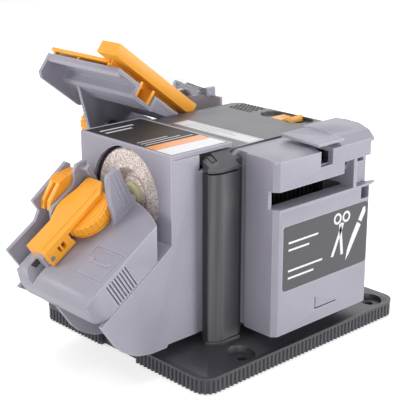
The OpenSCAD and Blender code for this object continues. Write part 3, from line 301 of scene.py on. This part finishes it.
def build_finishes(settings, sizes):
    """Make every finish once, under the name that the pieces ask for."""
    grain = sizes.texture_grain
    FINISH.update({
        "grey": moulded_abs("moulded_abs_grey", settings.grey, 0.45, grain),
        "charcoal": moulded_abs("moulded_abs_charcoal", settings.charcoal, 0.42, grain,
                                depth=0.07 * MM, mottling=0.12),
        "cover": moulded_abs("moulded_abs_cover", settings.cover, 0.42, grain, depth=0.07 * MM, mottling=0.1),
        "black": moulded_abs("moulded_abs_black", settings.black, 0.45, grain),
        # the orange gets a weaker painted edge highlight
        "orange": moulded_abs("moulded_abs_orange", settings.orange, 0.36, grain,
                              depth=0.02 * MM, mottling=0.06, highlight_and_rub=0.2),
        "label": printed_film("printed_film_grey", settings.label),
        "label_black": printed_film("printed_film_black", settings.label_black, 0.5, ior=1.3),
        "plate": printed_film("silver_foil_plate", settings.plate, 0.35),
        "grit": bonded_grit("bonded_grit", settings.grit, sizes.grit_grain),
        "steel": turned_steel("turned_steel", "#b9b9bd"),
        "copper": enamelled_wire("enamelled_copper_wire"),
        "carbon": moulded_rubber("pressed_carbon", "#2a2a2c"),
        "nut": moulded_abs("lacquered_nut", settings.nut, 0.4, 0.3 * MM),
        "rubber": moulded_rubber("moulded_rubber", "#19191a"),
        "clear": clear_polycarbonate("clear_polycarbonate"),
        "pale_print": printed_film("pale_ink", settings.pale_print, 0.35),
        "orange_print": printed_film("orange_ink", settings.orange_print, 0.3),
        "dark_print": printed_film("dark_ink", settings.dark_print, 0.4),
    })


# the finish that each of the model's own materials gets
SLOT_FINISH = {
    "charcoal_plastic": "charcoal", "black_plastic": "black", "cover_plastic": "cover",
    "grey_plastic": "grey", "orange_plastic": "orange", "silver_label": "plate",
    "black_label": "label_black", "dark_label": "label", "bright_steel": "steel",
    "copper_winding": "copper", "brush_carbon": "carbon", "abrasive_grit": "grit", "pale_nut": "nut",
    "black_rubber": "rubber", "foot_rubber": "rubber", "clear_guard": "clear",
}


class SHARPENER_OT_finishes(bpy.types.Operator):
    """Give every part of the model its finish"""
    bl_idname = "sharpener.finishes"
    bl_label = "Finishes"

    def execute(self, context):
        build_finishes(context.scene.sharpener_finishes, context.scene.sharpener_sizes)
        for name, obj in frame["nodes"].items():
            finish = FINISH[SLOT_FINISH[SLOT_OF[name]]]
            if obj.data.materials:
                for index in range(len(obj.data.materials)):
                    obj.data.materials[index] = finish
            else:
                obj.data.materials.append(finish)
        return {"FINISHED"}


# ---------------------------------------------------------------- moulded shells

# the parts whose moulded edges show
SHELLS = ["base_plate", "tower_shell", "top_cover", "drill_housing", "bit_cradle", "clamp_arm",
          "bit_gauge", "knife_housing", "chisel_housing", "chisel_arm", "chisel_table", "angle_knob",
          "motor_can", "switch_rocker", "guard_clip"]
WELD_WITHIN = 0.002 * MM
FLAT_TURN = math.radians(0.6)   # faces that turn by less are one flat face
SHARP_TURN = math.radians(32)   # edges that turn by less lie on a curved face, and stay as they are


def moulded_shell(node, radius):
    """A copy of a part with its edges rounded, which stands in for the sharp-edged one."""
    shell = bmesh.new()
    shell.from_mesh(frame["nodes"][node].data)
    bmesh.ops.remove_doubles(shell, verts=shell.verts, dist=WELD_WITHIN)
    bmesh.ops.dissolve_limit(shell, angle_limit=FLAT_TURN, verts=shell.verts, edges=shell.edges)
    mesh = bpy.data.meshes.new(node + "_moulded")
    shell.to_mesh(mesh)
    shell.free()
    piece = bpy.data.objects.new(node + "_moulded", mesh)
    bpy.context.scene.collection.objects.link(piece)
    for polygon in mesh.polygons:
        polygon.use_smooth = True
    mesh.materials.clear()
    mesh.materials.append(FINISH[SLOT_FINISH[SLOT_OF[node]]])
    rounding = piece.modifiers.new("rounded edges", "BEVEL")
    rounding.width = radius
    rounding.segments = 2
    rounding.limit_method = "ANGLE"
    rounding.angle_limit = SHARP_TURN
    rounding.harden_normals = True
    rounding.use_clamp_overlap = True
    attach(piece, BODY_OF[node])
    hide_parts(node)
    return piece


class SHARPENER_OT_shells(bpy.types.Operator):
    """Round the edges of the moulded shells"""
    bl_idname = "sharpener.shells"
    bl_label = "Moulded shells"

    def execute(self, context):
        for node in SHELLS:
            moulded_shell(node, context.scene.sharpener_sizes.edge)
        return {"FINISHED"}


# ---------------------------------------------------------------- printed films and moulded marks

def face_frame(origin, across, up):
    """Turn local millimetres (across, up, off the face) into the model's metres."""
    across, up = Vector(across).normalized(), Vector(up).normalized()
    turn = Matrix((across, up, across.cross(up))).transposed().to_4x4()
    return Matrix.Translation(Vector(origin) * MM) @ turn @ Matrix.Scale(MM, 4)


def flat_shape(mesh, outline, height):
    """Add one outline, drawn in millimetres, as thick as height."""
    corners = [mesh.verts.new((x, y, 0)) for x, y in outline]
    face = mesh.faces.new(corners)
    extruded = bmesh.ops.extrude_face_region(mesh, geom=[face])["geom"]
    raised = [part for part in extruded if isinstance(part, bmesh.types.BMVert)]
    bmesh.ops.translate(mesh, vec=(0, 0, height), verts=raised)


def arc_shape(mesh, centre, inner, outer, start, sweep, height, steps):
    """Add part of a flat ring, swept from a small rectangle."""
    ends = [(inner, 0), (outer, 0), (outer, height), (inner, height)]
    turn = Matrix.Translation((*centre, 0)) @ Matrix.Rotation(math.radians(start), 4, "Z")
    corners = [mesh.verts.new(turn @ Vector((r, 0, h))) for r, h in ends]
    face = mesh.faces.new(corners)
    bmesh.ops.spin(mesh, geom=[face, *face.edges, *corners], cent=(*centre, 0), axis=(0, 0, 1),
                   dvec=(0, 0, 0), angle=math.radians(sweep), steps=steps, use_merge=abs(sweep) >= 360,
                   use_duplicate=False)


def bar(x0, y0, x1, y1, width):
    """Outline of a straight stroke from one point to another."""
    along = Vector((x1 - x0, y1 - y0)).normalized()
    side = Vector((-along.y, along.x)) * width / 2
    return [(x0 - side.x, y0 - side.y), (x1 - side.x, y1 - side.y),
            (x1 + side.x, y1 + side.y), (x0 + side.x, y0 + side.y)]


def rectangle(x0, y0, x1, y1):
    """Outline of a rectangle between two opposite corners."""
    return [(x0, y0), (x1, y0), (x1, y1), (x0, y1)]


def finish_piece(mesh, name, place, finish, body):
    """Close a mesh, put its place in it, and let it ride on its body."""
    bmesh.ops.recalc_face_normals(mesh, faces=mesh.faces)
    bmesh.ops.transform(mesh, matrix=place, verts=mesh.verts)
    data = bpy.data.meshes.new(name)
    mesh.to_mesh(data)
    mesh.free()
    data.materials.append(FINISH[finish])
    piece = bpy.data.objects.new(name, data)
    bpy.context.scene.collection.objects.link(piece)
    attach(piece, body)
    return piece


def rounded_film(name, node, radius, body, finish):
    """A side unit's film with round corners, which stands in for the square-cornered one."""
    low, high = box_of(node)
    film = bmesh.new()
    bmesh.ops.create_cube(film, size=1, matrix=Matrix.LocRotScale((low + high) / 2, None, high - low))
    corners = [edge for edge in film.edges
               if abs((edge.verts[0].co - edge.verts[1].co).normalized().y) > 0.99]
    bmesh.ops.bevel(film, geom=corners, offset=radius, offset_type="OFFSET", segments=6, profile=0.5,
                    affect="EDGES", material=-1, clamp_overlap=True)
    piece = finish_piece(film, name, Matrix.Scale(MM, 4), finish, body)
    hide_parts(node)
    return piece


def ruled_lines(mesh, lines, width, height):
    """Add level strokes, each given by where it starts, where it ends and how far up it is."""
    for start, end, up in lines:
        flat_shape(mesh, bar(start, up, end, up, width), height)


# the drill unit's film, measured from its front corner at the knife unit, towards the chisel unit
FILM_MARGIN = 0.5
PALE_END = 12.3
BAND_START, BAND_END = 12.5, 20.5
# where a rule starts, how far short of the film's rear edge it ends, and how far along the film it is
FINE_RULES = [(3, 3, 23.5), (3, 9, 26.7), (3, 15, 29.9)]
# the same, but measured from the film's other end
BOLD_RULES = [(4, 12, 8), (4, 17, 13)]
FINE_WIDTH, BOLD_WIDTH = 0.7, 1.6


class SHARPENER_OT_drill_film(bpy.types.Operator):
    """Print an orange band, a pale end and plain rules on the drill unit's black film"""
    bl_idname = "sharpener.drill_film"
    bl_label = "Drill film"

    def execute(self, context):
        height = context.scene.sharpener_sizes.print_height / MM
        low, high = box_of("drill_label")
        place = face_frame((low.x, low.y, high.z), (1, 0, 0), (0, 1, 0))
        width, length = high.x - low.x, high.y - low.y
        for name, start, end, ink in (("film_band", BAND_START, BAND_END, "orange_print"),
                                      ("film_end", FILM_MARGIN, PALE_END, "pale_print")):
            patch = bmesh.new()
            flat_shape(patch, rectangle(FILM_MARGIN, start, width - FILM_MARGIN, end), height)
            finish_piece(patch, name, place, ink, "drill_unit")
        rules = bmesh.new()
        fine = [(start, width - short, along) for start, short, along in FINE_RULES]
        bold = [(start, width - short, length - back) for start, short, back in BOLD_RULES]
        ruled_lines(rules, fine, FINE_WIDTH, height)
        ruled_lines(rules, bold, BOLD_WIDTH, height)
        finish_piece(rules, "film_rules", place, "pale_print", "drill_unit")
        return {"FINISHED"}


# open scissors, measured from their screw
SCISSOR_BLADES = [[(-8, -15), (-5.8, -15.2), (2.2, 2.2), (0.2, 3)],
                  [(2.4, -15.4), (0.2, -15.6), (-2.0, 2.2), (-0.2, 3)]]
SCISSOR_RINGS = [(3.9, 5.6), (-3.3, 5.8)]
RING_INSIDE, RING_OUTSIDE = 1.9, 3.2


def scissors(mesh, x, y, height):
    """Add open scissors: two crossed blades and two finger rings."""
    for blade in SCISSOR_BLADES:
        flat_shape(mesh, [(x + across, y + up) for across, up in blade], height)
    for across, up in SCISSOR_RINGS:
        arc_shape(mesh, (x + across, y + up), RING_INSIDE, RING_OUTSIDE, 0, 360, height, 28)


# marks on the side units' films, measured from the film's lower left corner;
# a rule is given by its start, its end and its height
RULE_WIDTH = 1.1
SCISSORS_AT = (46, 24.5)
KNIFE_BLADE = [(50.5, 4.6), (53.6, 8.4), (62.6, 22.6), (59.4, 24.8), (55.4, 18.4), (51.6, 10.6)]
KNIFE_HANDLE = [(60.2, 25.8), (62.9, 24.1), (66.2, 29.2), (66.0, 32.4), (64.0, 32.2)]
KNIFE_RULES = [(4, 27, 26), (4, 20, 22), (4, 31, 10.5), (4, 24, 6.5)]
CHISEL_BLADE = [(10, 8), (16, 6), (27, 15), (24, 18.6)]
CHISEL_HANDLE = [(24.8, 19.2), (27.8, 15.6), (31.6, 18), (45, 26), (46, 28.8), (43.6, 29.6), (29, 22.4)]
CHISEL_RULES = [(34, 54, 9), (34, 50, 5.4)]


class SHARPENER_OT_knife_film(bpy.types.Operator):
    """Print scissors and a knife on the knife unit's film"""
    bl_idname = "sharpener.knife_film"
    bl_label = "Knife film"

    def execute(self, context):
        sizes = context.scene.sharpener_sizes
        height = sizes.print_height / MM
        rounded_film("knife_film", "knife_label", sizes.film_corner / MM, "knife_unit", "label")
        low = box_of("knife_label")[0]
        place = face_frame(low, (1, 0, 0), (0, 0, 1))
        marks = bmesh.new()
        scissors(marks, *SCISSORS_AT, height)
        flat_shape(marks, KNIFE_BLADE, height)
        flat_shape(marks, KNIFE_HANDLE, height)
        ruled_lines(marks, KNIFE_RULES, RULE_WIDTH, height)
        finish_piece(marks, "knife_film_marks", place, "pale_print", "knife_unit")
        return {"FINISHED"}


class SHARPENER_OT_chisel_film(bpy.types.Operator):
    """Print a chisel on the chisel unit's film"""
    bl_idname = "sharpener.chisel_film"
    bl_label = "Chisel film"

    def execute(self, context):
        sizes = context.scene.sharpener_sizes
        height = sizes.print_height / MM
        rounded_film("chisel_film", "chisel_label", sizes.film_corner / MM, "chisel_unit", "label")
        low, high = box_of("chisel_label")
        place = face_frame((high.x, high.y, low.z), (-1, 0, 0), (0, 0, 1))
        marks = bmesh.new()
        flat_shape(marks, CHISEL_BLADE, height)
        flat_shape(marks, CHISEL_HANDLE, height)
        ruled_lines(marks, CHISEL_RULES, RULE_WIDTH, height)
        finish_piece(marks, "chisel_film_marks", place, "pale_print", "chisel_unit")
        return {"FINISHED"}


# the rating plate, measured from its front edge towards the back of the cover
PLATE_MARGIN = 0.3
PLATE_BAND = 8
BORDER_INSET, BORDER_WIDTH = 1.2, 0.3
PLATE_RULE_INSET, PLATE_RULE_START, PLATE_RULE_PITCH, PLATE_RULE_WIDTH = 6, 11.4, 2.4, 0.5
PLATE_RULE_SHARES = (0.55, 0.8, 0.7)


class SHARPENER_OT_plate_rules(bpy.types.Operator):
    """Print the cover's colour along the rating plate's front, and a border and plain lines behind it"""
    bl_idname = "sharpener.plate_rules"
    bl_label = "Plate rules"

    def execute(self, context):
        height = context.scene.sharpener_sizes.print_height / MM
        low, high = box_of("rating_plate")
        place = face_frame((low.x, high.y, high.z), (0, -1, 0), (1, 0, 0))
        long, wide = high.y - low.y, high.x - low.x
        band = bmesh.new()
        flat_shape(band, rectangle(PLATE_MARGIN, PLATE_MARGIN, long - PLATE_MARGIN, PLATE_BAND), height)
        finish_piece(band, "plate_band", place, "cover", "station")
        rules = bmesh.new()
        left, right = BORDER_INSET, long - BORDER_INSET
        front, back = PLATE_BAND + BORDER_INSET, wide - BORDER_INSET
        for x0, y0, x1, y1 in ((left, front, right, front), (left, back, right, back),
                               (left, front, left, back), (right, front, right, back)):
            flat_shape(rules, bar(x0, y0, x1, y1, BORDER_WIDTH), height)
        lines = [(PLATE_RULE_INSET, PLATE_RULE_INSET + (long - 2 * PLATE_RULE_INSET) * share,
                  PLATE_RULE_START + index * PLATE_RULE_PITCH)
                 for index, share in enumerate(PLATE_RULE_SHARES)]
        ruled_lines(rules, lines, PLATE_RULE_WIDTH, height)
        finish_piece(rules, "plate_rules", place, "dark_print", "station")
        return {"FINISHED"}


# ---------------------------------------------------------------- moulded marks on the cradle

# the cradle turns flat on the drill unit's slope, about a stud that stands square to it;
# places on it are measured from the stud, up the slope and then towards the chisel unit or off the slope
STUD_AT = pivot_of("cradle_swivel")
OFF_SLOPE = Vector(JOINTS["cradle_swivel"]["axis"])
UP_SLOPE = Vector((OFF_SLOPE.z, 0, -OFF_SLOPE.x))

CRADLE_TOP = 16.5
ARROW_CENTRE, ARROW_RADIUS = (-0.5, -22.5), 21.5
ARROW_ROOT, ARROW_TIP = 15, 24   # degrees from the arrow's middle to a head's root and tip
ARROW_WIDTH, ARROW_HEAD = 0.9, 3.0

DISC_TOP = 24.3
DISC_AXIS = pivot_of("thumbscrew_turn") - STUD_AT
SWIRL_RELIEF = 0.22
# inner radius, outer radius, start and sweep in degrees of each swirl
SWIRLS = ((11.2, 12.0, 200, 130), (8.6, 9.3, 205, 110))

# the ribs' foot, and how deep it is sunk in the gauge at each point
RIB_FOOT = [(17.4, 29.7), (9, 33.3), (4.4, 33.5)]
RIB_SUNK = [0.15, 0.1, 0.1]
RIB_COUNT, RIB_FIRST, RIB_PITCH, RIB_WIDTH = 4, 2.0, 1.9, 0.8

FIN_FACE = -11.25
FIN_EDGE = [(1.3, 17), (3.3, 19.2), (5.0, 23.2), (6.2, 28.2), (9.2, 34), (11.7, 38.4), (13.2, 39.8)]
RIM_WIDTH, RIM_RELIEF = 1.2, 0.6
RIDGE_FOOT, RIDGE_HEAD = (8.8, 20), (11.0, 33)
RIDGE_WIDTH, RIDGE_RELIEF = 0.8, 0.45
RIDGE_SHIFTS = (3.2, 6.0)


def slope_frame(off):
    """Local across is up the slope and local up is towards the chisel unit, off the slope's face."""
    return face_frame(STUD_AT + OFF_SLOPE * off, UP_SLOPE, (0, 1, 0))


def slope_side(near):
    """Local across is up the slope, local up is off it, and the face looks towards the knife unit."""
    return face_frame(STUD_AT + Vector((0, near, 0)), UP_SLOPE, OFF_SLOPE)


class SHARPENER_OT_swing_arrow(bpy.types.Operator):
    """Mould the curved double arrow that shows how the cradle swings"""
    bl_idname = "sharpener.swing_arrow"
    bl_label = "Swing arrow"

    def execute(self, context):
        relief = context.scene.sharpener_sizes.relief / MM
        arrow = bmesh.new()
        arc_shape(arrow, ARROW_CENTRE, ARROW_RADIUS - ARROW_WIDTH / 2, ARROW_RADIUS + ARROW_WIDTH / 2,
                  180 - ARROW_ROOT, 2 * ARROW_ROOT, relief, 18)
        for sign in (-1, 1):
            root = math.radians(180 + sign * ARROW_ROOT)
            tip = math.radians(180 + sign * ARROW_TIP)
            head = [(ARROW_RADIUS - ARROW_HEAD / 2, root), (ARROW_RADIUS, tip),
                    (ARROW_RADIUS + ARROW_HEAD / 2, root)]
            flat_shape(arrow, [(ARROW_CENTRE[0] + radius * math.cos(angle),
                                ARROW_CENTRE[1] + radius * math.sin(angle))
                               for radius, angle in head], relief)
        finish_piece(arrow, "swing_arrow", slope_frame(CRADLE_TOP), "grey", "cradle")
        return {"FINISHED"}


class SHARPENER_OT_disc_swirl(bpy.types.Operator):
    """Mould the two raised swirls on the thumb disc's face"""
    bl_idname = "sharpener.disc_swirl"
    bl_label = "Disc swirl"

    def execute(self, context):
        centre = (DISC_AXIS.dot(UP_SLOPE), DISC_AXIS.y)
        swirl = bmesh.new()
        for inner, outer, start, sweep in SWIRLS:
            arc_shape(swirl, centre, inner, outer, start, sweep, SWIRL_RELIEF, 30)
        finish_piece(swirl, "disc_swirl", slope_frame(DISC_TOP), "orange", "thumbscrew")
        return {"FINISHED"}


class SHARPENER_OT_gauge_ribs(bpy.types.Operator):
    """Mould the finger ribs along the bit gauge"""
    bl_idname = "sharpener.gauge_ribs"
    bl_label = "Gauge ribs"

    def execute(self, context):
        rise = context.scene.sharpener_sizes.relief / MM
        top = [(across, up + sunk + rise) for (across, up), sunk in zip(RIB_FOOT, RIB_SUNK)]
        profile = RIB_FOOT + top[::-1]
        low = box_of("bit_gauge")[0]
        for index in range(RIB_COUNT):
            rib = bmesh.new()
            flat_shape(rib, profile, RIB_WIDTH)
            finish_piece(rib, f"gauge_rib_{index + 1}", slope_side(low.y + RIB_FIRST + index * RIB_PITCH),
                         "orange", "gauge")
        return {"FINISHED"}


class SHARPENER_OT_fin_rims(bpy.types.Operator):
    """Mould the raised rim and ridges of the drill guide's near fin"""
    bl_idname = "sharpener.fin_rims"
    bl_label = "Fin rims"

    def execute(self, context):
        rim = bmesh.new()
        for (x0, z0), (x1, z1) in zip(FIN_EDGE, FIN_EDGE[1:]):
            flat_shape(rim, bar(x0, z0, x1, z1, RIM_WIDTH), RIM_RELIEF)
        finish_piece(rim, "fin_rim", slope_side(FIN_FACE), "grey", "cradle")
        ridges = bmesh.new()
        for shift in RIDGE_SHIFTS:
            flat_shape(ridges, bar(RIDGE_FOOT[0] + shift, RIDGE_FOOT[1], RIDGE_HEAD[0] + shift,
                                   RIDGE_HEAD[1] + shift, RIDGE_WIDTH), RIDGE_RELIEF)
        finish_piece(ridges, "fin_ridges", slope_side(FIN_FACE), "grey", "cradle")
        return {"FINISHED"}


# ---------------------------------------------------------------- rail ends and guard

# the ends close the slots at both sides of a dock; each outline runs outwards and up
RAIL_END = [(36.6, 106.7), (41.2, 106.7), (41.2, 111.4), (37.8, 113.4), (36.6, 113.4)]
RAIL_END_DEPTH = 2.8
DRILL_DOCK_X = -56.9
KNIFE_DOCK_Y = -37.8


class SHARPENER_OT_rail_ends(bpy.types.Operator):
    """Mould the sloped ends that close the tower's slots above the rails"""
    bl_idname = "sharpener.rail_ends"
    bl_label = "Rail ends"

    def execute(self, context):
        drill_dock = face_frame((DRILL_DOCK_X, 0, 0), (0, 1, 0), (0, 0, 1))
        knife_dock = face_frame((0, KNIFE_DOCK_Y, 0), (1, 0, 0), (0, 0, 1))
        for side, drill_side, knife_side in ((-1, "near", "front"), (1, "far", "rear")):
            outline = [(side * out, up) for out, up in RAIL_END]
            drill_end, knife_end = bmesh.new(), bmesh.new()
            flat_shape(drill_end, outline, RAIL_END_DEPTH)
            finish_piece(drill_end, f"drill_rail_end_{drill_side}", drill_dock, "cover", "drill_unit")
            flat_shape(knife_end, outline, RAIL_END_DEPTH)
            finish_piece(knife_end, f"knife_rail_end_{knife_side}", knife_dock, "grey", "knife_unit")
        return {"FINISHED"}


# measured from the guard's hinge, towards the wheel and up
GUARD_SHEET = [(-0.4, -0.4), (0.2, 1.1), (49.2, 21.2), (49.6, 20.1)]
GUARD_SKIRT = [(1, 0.1), (48, 19.4), (47, 12), (29, -1.2), (1, -1.6)]
SKIRT_THICKNESS = 1.2


class SHARPENER_OT_guard_sheet(bpy.types.Operator):
    """Form the clear spark guard: its sloping sheet and its near skirt"""
    bl_idname = "sharpener.guard_sheet"
    bl_label = "Guard sheet"

    def execute(self, context):
        low, high = box_of("chisel_guard")
        hinge = pivot_of("guard_lift")
        guard = bmesh.new()
        flat_shape(guard, GUARD_SHEET, high.y - low.y)
        flat_shape(guard, GUARD_SKIRT, SKIRT_THICKNESS)
        place = face_frame((hinge.x, low.y, hinge.z), (-1, 0, 0), (0, 0, 1))
        piece = finish_piece(guard, "guard_sheet", place, "clear", "guard")
        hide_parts("chisel_guard")
        return {"FINISHED"}


# ---------------------------------------------------------------- studio

# the lens and the sensor are in millimetres, and the view, the floor and the lamps are in metres
CAMERA_AT = Vector((-419.8, -419.0, 260.3)) * MM
CAMERA_TO = Vector((-8.35, 19.2, 66.51)) * MM
LENS = 97.607
SENSOR = 36.0
VIEW_DEPTH = 20.0
FLOOR_HALF = 6.0
PAPER_WHITE = 0.8    # what the floor reflects, which keeps the object's shadow on it
PAPER_LIFT = 0.6     # what is added where the floor is seen, so that it is as white as the backdrop
ROOM_LIGHT = 0.3

# watts, width, place and aim of each lamp
LAMPS = {
    "key lamp": (5.0, 0.5, (0.42, -0.8, 0.2), (-0.03, 0, 0.03)),
    "front lamp": (1.9, 0.35, (-0.55, -0.62, 0.2), (-0.14, -0.04, 0.03)),
    "top lamp": (4.9, 0.9, (-0.1, 0.1, 1.1), (0, 0, 0.05)),
    "fill lamp": (3.4, 0.4, (-0.75, 0.55, 0.3), (-0.1, 0, 0.05)),
    "back lamp": (3.0, 0.9, (0.9, 0.7, 0.8), (0, 0, 0.06)),
}


def aim(obj, at, to):
    """Put a lamp or a camera in its place, turned to what it is aimed at."""
    obj.location = at
    obj.rotation_euler = (Vector(to) - Vector(at)).to_track_quat("-Z", "Y").to_euler()


def studio_lamp(name, energy, size, at, to):
    """A square soft light."""
    lamp = bpy.data.lights.new(name, "AREA")
    lamp.energy, lamp.size = energy, size
    obj = bpy.data.objects.new(name, lamp)
    bpy.context.scene.collection.objects.link(obj)
    aim(obj, at, to)


def seen_directly(tree):
    """One where a ray comes from the camera, a reflection or a clear part, and nought elsewhere."""
    path = add_node(tree, "ShaderNodeLightPath")
    glossy = add_node(tree, "ShaderNodeMath",
                      {0: path.outputs["Is Camera Ray"], 1: path.outputs["Is Glossy Ray"]},
                      operation="MAXIMUM")
    return add_node(tree, "ShaderNodeMath", {0: glossy.outputs[0], 1: path.outputs["Is Transmission Ray"]},
                    operation="MAXIMUM").outputs[0]


def white_room():
    """A world that lights the object faintly and looks white behind it."""
    world = bpy.data.worlds.new("studio")
    world.use_nodes = True
    tree = world.node_tree
    tree.nodes.clear()
    room = add_node(tree, "ShaderNodeBackground", {"Color": (1, 1, 1, 1), "Strength": ROOM_LIGHT})
    backdrop = add_node(tree, "ShaderNodeBackground", {"Color": (1, 1, 1, 1), "Strength": 1.0})
    mix = add_node(tree, "ShaderNodeMixShader",
                   {0: seen_directly(tree), 1: room.outputs[0], 2: backdrop.outputs[0]})
    add_node(tree, "ShaderNodeOutputWorld", {"Surface": mix.outputs[0]})
    return world


def paper_sweep():
    """Matte white paper, which takes the shadow and is lifted to white where it is seen."""
    material = bpy.data.materials.new("paper_sweep")
    material.use_nodes = True
    tree = material.node_tree
    tree.nodes.clear()
    paper = add_node(tree, "ShaderNodeBsdfDiffuse", {"Color": (PAPER_WHITE, PAPER_WHITE, PAPER_WHITE, 1)})
    lift = add_node(tree, "ShaderNodeEmission", {"Color": (1, 1, 1, 1), "Strength": PAPER_LIFT})
    none = add_node(tree, "ShaderNodeEmission", {"Strength": 0.0})
    shown = add_node(tree, "ShaderNodeMixShader",
                     {0: seen_directly(tree), 1: none.outputs[0], 2: lift.outputs[0]})
    both = add_node(tree, "ShaderNodeAddShader", {0: paper.outputs[0], 1: shown.outputs[0]})
    add_node(tree, "ShaderNodeOutputMaterial", {"Surface": both.outputs[0]})
    return material


class SHARPENER_OT_studio(bpy.types.Operator):
    """Set up the floor, the lamps, the world and the camera"""
    bl_idname = "sharpener.studio"
    bl_label = "Studio"

    def execute(self, context):
        scene = context.scene
        scene.view_settings.view_transform = "Standard"
        scene.world = white_room()

        floor_mesh = bmesh.new()
        bmesh.ops.create_grid(floor_mesh, x_segments=1, y_segments=1, size=FLOOR_HALF)
        mesh = bpy.data.meshes.new("floor")
        floor_mesh.to_mesh(mesh)
        floor_mesh.free()
        mesh.materials.append(paper_sweep())
        floor = bpy.data.objects.new("floor", mesh)
        scene.collection.objects.link(floor)

        for name, (energy, size, at, to) in LAMPS.items():
            studio_lamp(name, energy, size, at, to)

        camera = bpy.data.cameras.new("camera")
        camera.lens = LENS
        camera.sensor_width = SENSOR
        camera.sensor_fit = "HORIZONTAL"
        camera.clip_end = VIEW_DEPTH
        obj = bpy.data.objects.new("camera", camera)
        scene.collection.objects.link(obj)
        aim(obj, CAMERA_AT, CAMERA_TO)
        scene.camera = obj
        return {"FINISHED"}


class SHARPENER_PT_panel(bpy.types.Panel):
    """Buttons for each step of the dressing"""
    bl_label = "Sharpener"
    bl_idname = "SHARPENER_PT_panel"
    bl_space_type = "VIEW_3D"
    bl_region_type = "UI"
    bl_category = "Sharpener"

    def draw(self, context):
        layout = self.layout
        for group in (context.scene.sharpener_finishes, context.scene.sharpener_sizes):
            for key in group.bl_rna.properties.keys():
                if key not in ("rna_type", "name"):
                    layout.prop(group, key)
        for operator in OPERATORS:
            layout.operator(operator.bl_idname)


OPERATORS = [SHARPENER_OT_finishes, SHARPENER_OT_shells, SHARPENER_OT_drill_film,
             SHARPENER_OT_knife_film, SHARPENER_OT_chisel_film, SHARPENER_OT_plate_rules,
             SHARPENER_OT_swing_arrow, SHARPENER_OT_disc_swirl, SHARPENER_OT_gauge_ribs,
             SHARPENER_OT_fin_rims, SHARPENER_OT_rail_ends, SHARPENER_OT_guard_sheet, SHARPENER_OT_studio]
CLASSES = [FinishSettings, SizeSettings, *OPERATORS, SHARPENER_PT_panel]


def register():
    for cls in CLASSES:
        bpy.utils.register_class(cls)
    bpy.types.Scene.sharpener_finishes = PointerProperty(type=FinishSettings)
    bpy.types.Scene.sharpener_sizes = PointerProperty(type=SizeSettings)


def unregister():
    del bpy.types.Scene.sharpener_sizes
    del bpy.types.Scene.sharpener_finishes
    for cls in reversed(CLASSES):
        bpy.utils.unregister_class(cls)


def main():
    """Dress the model from start to end."""
    register()
    bpy.ops.sharpener.finishes()
    bpy.ops.sharpener.shells()
    bpy.ops.sharpener.drill_film()
    bpy.ops.sharpener.knife_film()
    bpy.ops.sharpener.chisel_film()
    bpy.ops.sharpener.plate_rules()
    bpy.ops.sharpener.swing_arrow()
    bpy.ops.sharpener.disc_swirl()
    bpy.ops.sharpener.gauge_ribs()
    bpy.ops.sharpener.fin_rims()
    bpy.ops.sharpener.rail_ends()
    bpy.ops.sharpener.guard_sheet()
    bpy.ops.sharpener.studio()


if __name__ == "__main__":
    main()
